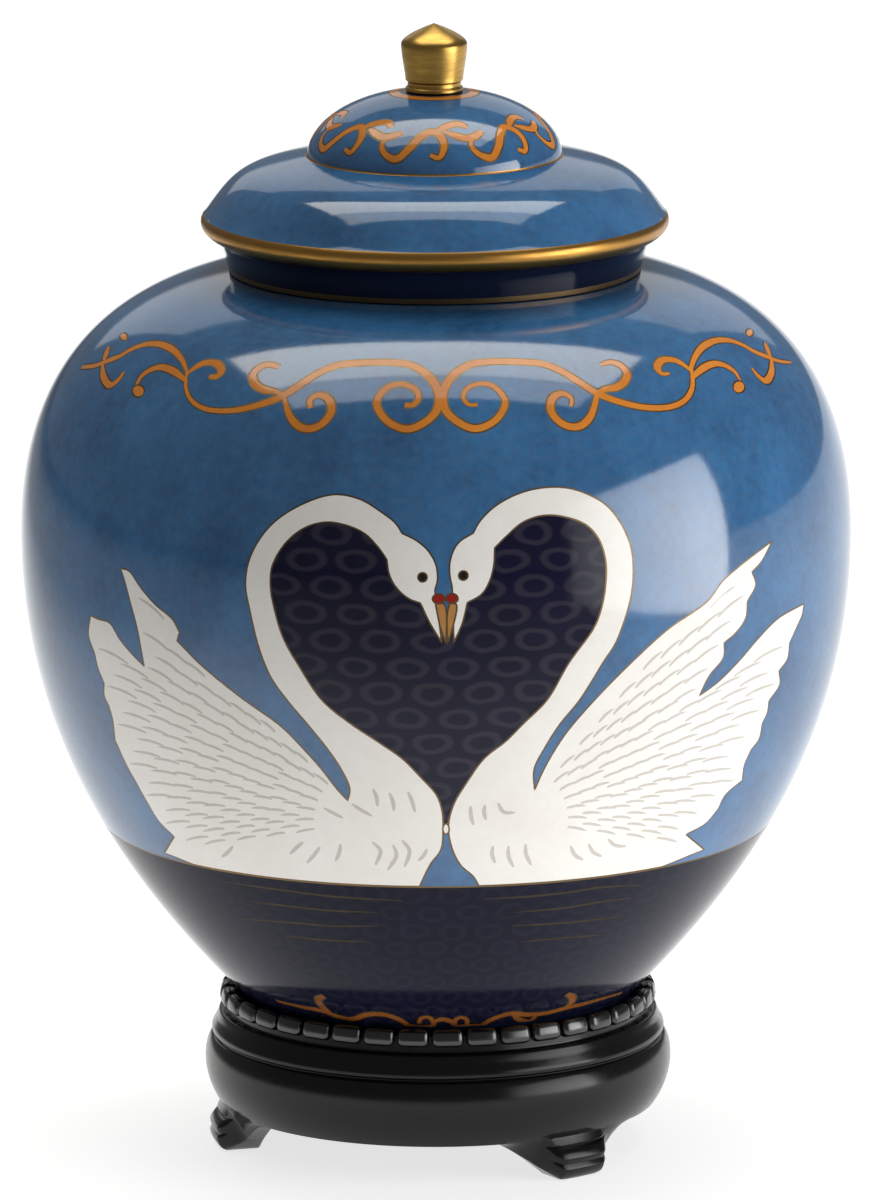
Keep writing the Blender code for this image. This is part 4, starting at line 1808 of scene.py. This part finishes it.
@dataclass
class Stand:
    """The carved stand: a socket, a bead row, a moulding, a drum and an apron that runs into three feet."""

    turn: float = -50.5
    seat_level: float = 29.4 * MM
    top_level: float = 39.4 * MM
    socket_wall: float = 6.0 * MM
    notch_level: float = 32.9 * MM
    groove_level: float = 27.0 * MM
    socket_radius: float = 47.5 * MM
    lip_radius: float = 49.88 * MM
    core_radius: float = 50.88 * MM
    bead_reach: float = 1.9 * MM
    bead_dip: float = 1.6 * MM
    bead_depth: float = 2.3 * MM
    bead_rise: float = 2.2 * MM
    bead_round: float = 1.55 * MM
    bead_share: float = 0.92
    bead_lean: float = 12.0
    bead_count: int = 39
    band_height: float = 5.9 * MM
    band_reach: float = 4.0 * MM
    drum_height: float = 16.5 * MM
    drum_reach: float = 4.3 * MM
    drum_bulge: float = 2.4 * MM
    drum_tuck: float = 2.2 * MM
    groove_depth: float = 1.0 * MM
    plate_thickness: float = 9.5 * MM
    skirt_thickness: float = 10.4 * MM
    foot_height: float = 10.5 * MM
    foot_reach: float = 2.8 * MM
    foot_depth: float = 10.8 * MM
    foot_arc: float = 12.0
    foot_ramp_arc: float = 18.5
    foot_ramp_power: float = 1.15
    toe_fade_arc: float = 6.0
    toe_roll_share: float = 0.39
    toe_roll_depth: float = 3.0 * MM
    toe_groove: float = 0.7 * MM
    ankle_share: float = 0.83
    ankle_depth: float = 2.0 * MM
    apron_lean: float = 0.3
    feet: int = 3
    columns: int = 288

    def foot_line(self, edge: float, share: float, toe: float) -> list[Vector]:
        """Give the outer line below the apron's edge.

        Args:
            edge: the drum's radius at the apron's edge.
            share: 1 on a foot and 0 between feet.
            toe: how far the toe is rolled out, from 0 to 1.

        Returns:
            Points of radius and level.
        """
        reach = edge + self.foot_reach
        roll = self.toe_roll_share * self.foot_height
        center = Vector((reach - self.toe_roll_depth, roll))
        on_foot = [
            Vector((edge + 0.2 * MM, 0.95 * self.foot_height)),
            Vector((reach - self.ankle_depth, self.ankle_share * self.foot_height)),
        ]
        for turn in range(-75, 91, 5):
            spoke = heading(float(turn))
            groove = self.toe_groove * max(0.0, 1.0 - abs(turn) / 18.0)
            on_foot.append(center + Vector((spoke.x * self.toe_roll_depth - groove, spoke.y * roll)))
        low = self.foot_height * (1.0 - share)
        line = []
        for point in on_foot:
            plain = edge - self.apron_lean * (self.foot_height - point.y)
            line.append(Vector((plain + (point.x - plain) * toe, low + point.y * share)))
        return line

    def section(self, share: float, toe: float) -> list[Vector]:
        """Give the stand's half section from the axis on top, down the outside, to the axis below.

        Args:
            share: 1 on a foot and 0 between feet.
            toe: how far the toe is rolled out, from 0 to 1.

        Returns:
            Points of radius and level.
        """
        core_top = self.top_level - self.bead_dip - 0.4 * MM
        drum = self.core_radius + self.drum_reach
        edge = drum - self.drum_tuck
        band = self.core_radius + self.band_reach
        drum_top = self.groove_level - 0.4 * MM
        barrel = bezier(
            Vector((drum - 0.2 * MM, drum_top)),
            Vector((drum + self.drum_bulge, self.groove_level - 0.23 * self.drum_height)),
            Vector((drum + 0.7 * self.drum_bulge, self.foot_height + 0.32 * self.drum_height)),
            Vector((edge, self.foot_height)),
            16,
        )
        top = rounded(
            [
                Vector((0.0, self.seat_level)),
                Vector((self.socket_radius, self.seat_level)),
                Vector((self.socket_radius, self.seat_level + self.socket_wall)),
                Vector((self.lip_radius, core_top)),
                Vector((self.core_radius, core_top)),
                Vector((self.core_radius, self.notch_level)),
                Vector((band - 1.9 * MM, self.notch_level)),
                Vector((band - 1.2 * MM, self.notch_level - 0.35 * self.band_height)),
                Vector((band, self.groove_level + 0.3 * self.band_height)),
                Vector((band, self.groove_level + 0.1 * self.band_height)),
                Vector((band - self.groove_depth, self.groove_level)),
                barrel[0],
                barrel[1],
            ],
            0.5 * MM,
        )
        low = self.foot_height * (1.0 - share)
        under_level = self.seat_level - self.plate_thickness
        foot = self.foot_line(edge, share, toe)
        underside = rounded(
            [
                foot[-1],
                Vector((edge + self.foot_reach - self.foot_depth, low)),
                Vector((edge - self.skirt_thickness, self.foot_height + 1.0 * MM)),
                Vector((edge - self.skirt_thickness, under_level)),
                Vector((0.0, under_level)),
            ],
            0.6 * MM,
        )
        return top + barrel[2:] + foot + underside[1:]

    def body(self) -> bpy.types.Object:
        """Spin the section through a foot, then carve the spans between the feet out of it.

        Returns:
            The stand without its beads, turned as it stands.
        """
        piece = lathe("stand_carved", self.section(1.0, 1.0), self.columns)
        full = np.array([tuple(point) for point in self.section(1.0, 1.0)])
        mesh = piece.data
        places = np.empty(len(mesh.vertices) * 3)
        mesh.vertices.foreach_get("co", places)
        places = places.reshape(-1, 3)
        radius = np.hypot(places[:, 0], places[:, 1])
        angle = np.degrees(np.arctan2(places[:, 1], places[:, 0]))
        pitch = 360.0 / self.feet
        steps = np.round(angle / (360.0 / self.columns)).astype(int)
        gap = np.hypot(radius[:, None] - full[None, :, 0], places[:, 2:3] - full[None, :, 1])
        rows = gap.argmin(axis=1)
        for step in np.unique(steps):
            away = abs((step * 360.0 / self.columns + pitch / 2.0) % pitch - pitch / 2.0)
            ramp = (self.foot_arc / 2.0 + self.foot_ramp_arc - away) / self.foot_ramp_arc
            fade = (self.foot_arc / 2.0 + self.toe_fade_arc - away) / self.toe_fade_arc
            fade = min(max(fade, 0.0), 1.0)
            share = min(max(ramp, 0.0), 1.0) ** self.foot_ramp_power
            cut = np.array([tuple(point) for point in self.section(share, fade * fade * (3.0 - 2.0 * fade))])
            own = (steps == step) & (radius > 0.01 * MM)
            spot = cut[rows[own]]
            heading_of = np.radians(angle[own])
            places[own] = np.stack(
                [spot[:, 0] * np.cos(heading_of), spot[:, 0] * np.sin(heading_of), spot[:, 1]], axis=1
            )
        mesh.vertices.foreach_set("co", places.ravel())
        mesh.update()
        return piece

    def bead(self) -> bpy.types.Object:
        """Model one bead: a rounded lozenge that lies against the core.

        Returns:
            The bead, in place on +X.
        """
        pitch = TURN * (self.core_radius + 0.5 * self.bead_reach) / self.bead_count
        bpy.ops.mesh.primitive_cube_add(size=2.0)
        bead = bpy.context.object
        bead.name = "stand_bead"
        bead.scale = (self.bead_depth, 0.5 * self.bead_share * pitch, self.bead_rise)
        bead.rotation_euler.y = math.radians(-self.bead_lean)
        bead.location = (
            self.core_radius + self.bead_reach - self.bead_depth,
            0.0,
            self.top_level - self.bead_rise - 0.6 * MM,
        )
        bpy.ops.object.transform_apply(location=True, rotation=True, scale=True)
        bpy.ops.object.mode_set(mode="EDIT")
        bpy.ops.mesh.select_all(action="SELECT")
        bpy.ops.mesh.bevel(offset=self.bead_round, segments=4, affect="EDGES")
        bpy.ops.object.mode_set(mode="OBJECT")
        return bead

    def build(self, materials: dict[Tone, bpy.types.Material]) -> bpy.types.Object:
        """Model the stand.

        Args:
            materials: the enamels and metals by tone.

        Returns:
            The finished piece.
        """
        piece = self.body()
        first = self.bead()
        for part in (piece, first):
            dress(part, [materials[Tone.LACQUER], materials[Tone.BEAD]])
        for face in first.data.polygons:
            face.material_index = 1
        beads = [first]
        for number in range(1, self.bead_count):
            copy = first.copy()
            copy.data = first.data.copy()
            bpy.context.scene.collection.objects.link(copy)
            copy.rotation_euler.z = TURN * number / self.bead_count
            beads.append(copy)
        select_only(piece, *beads)
        bpy.ops.object.join()
        piece.rotation_euler.z = math.radians(self.turn)
        bpy.ops.object.transform_apply(location=True, rotation=True, scale=True)
        smooth_by_angle(piece, 32.0)
        return piece


@dataclass(frozen=True)
class SoftBox:
    """One soft studio light. Its glow is its radiance, and its spread the angle that it shines into."""

    name: str
    place: tuple[float, float, float]
    target: tuple[float, float, float]
    size: Spot
    glow: float
    spread: float = 180.0
    tint: str = "#FFFFFF"

    def hang(self) -> bpy.types.Object:
        """Add the light, turned to its target.

        Returns:
            The light.
        """
        data = bpy.data.lights.new(self.name, "AREA")
        data.shape = "RECTANGLE"
        data.size, data.size_y = self.size
        data.energy = self.glow * math.pi * self.size[0] * self.size[1]
        data.spread = math.radians(self.spread)
        data.color = linear(self.tint)[:3]
        light = bpy.data.objects.new(self.name, data)
        light.location = self.place
        way = Vector(self.target) - Vector(self.place)
        light.rotation_euler = way.to_track_quat("-Z", "Y").to_euler()
        bpy.context.scene.collection.objects.link(light)
        return light


@dataclass
class Studio:
    """A pale paper floor with a painted glow, which emits light of its own under and behind the urn and fades
    out towards the left and the front, in a room with soft boxes.
    """

    floor_radius: float = 30.0
    painted_glow: float = 0.74
    glow_left: float = -0.2
    glow_front: float = -0.1
    glow_fade: float = 0.42
    sky: str = "#FFFFFF"
    sky_strength: float = 0.16
    boxes: tuple[SoftBox, ...] = (
        SoftBox("overhead_box", (0.0, 0.58, 2.1), (0.0, 0.58, 0.0), (2.3, 0.95), 3.7, tint="#FFFCF2"),
        SoftBox("canopy_box", (0.0, -0.16, 2.1), (0.0, -0.16, 0.0), (2.2, 0.5), 1.9),
        SoftBox("right_box", (0.54, -0.39, 0.22), (0.0475, -0.303, 0.22), (0.6, 0.42), 1.6, 100.0),
        SoftBox("rear_wall", (0.0, 2.6, 1.4), (0.0, 0.0, 0.2), (2.6, 1.4), 0.6),
    )

    def floor(self) -> bpy.types.Object:
        """Add the pale floor, with its painted glow.

        Returns:
            The floor.
        """
        bpy.ops.mesh.primitive_circle_add(vertices=96, radius=self.floor_radius, fill_type="NGON")
        floor = bpy.context.object
        floor.name = "studio_floor"
        material, tree, shader = new_shader("paper_with_painted_glow")
        shader.inputs["Base Color"].default_value = linear("#C6C6C6")
        shader.inputs["Roughness"].default_value = 0.9
        shader.inputs["Specular IOR Level"].default_value = 0.1
        shader.inputs["Emission Color"].default_value = linear("#FFFFFF")
        parts = add_node(tree, "ShaderNodeSeparateXYZ", {}, Vector=object_place(tree))
        # Painted glow: the floor emits light of its own for x and y beyond set edges, fading out over a set
        # width towards the left and the front; no lamp makes it.
        glow: bpy.types.NodeSocket | float = self.painted_glow
        for axis, edge in (("X", self.glow_left), ("Y", self.glow_front)):
            span = (edge - self.glow_fade, edge)
            mask = ranged(tree, parts.outputs[axis], span, curve="SMOOTHSTEP")
            glow = worked(tree, "MULTIPLY", mask, glow)
        tree.links.new(glow, shader.inputs["Emission Strength"])
        dress(floor, [material])
        return floor

    def light(self) -> None:
        """Set the sky and hang the lights."""
        world = bpy.data.worlds.new("studio_sky")
        bpy.context.scene.world = world
        world.use_nodes = True
        background = world.node_tree.nodes["Background"]
        background.inputs["Color"].default_value = linear(self.sky)
        background.inputs["Strength"].default_value = self.sky_strength
        for box in self.boxes:
            box.hang()
        bpy.context.scene.view_settings.view_transform = "Standard"


def main() -> None:
    """Build every piece in order, then the studio and the camera."""
    logging.basicConfig(level=logging.INFO, format="%(message)s")
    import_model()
    eye = Eye()
    materials = finishes()
    pieces = (
        (Vessel().build(eye, materials), "vessel", "vessel_enamel"),
        (Lid().build(eye, materials), "lid", "lid_enamel"),
        (Finial().build(materials), "lid_finial", "brass"),
        (Stand().build(materials), "stand", "black_lacquer"),
    )
    for piece, node, slot in pieces:
        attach(piece, "root")
        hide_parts(node)
        LOG.info("%s: %d faces for %s", piece.name, len(piece.data.polygons), node)
    studio = Studio()
    studio.floor()
    studio.light()
    eye.place()


if __name__ == "__main__":
    main()
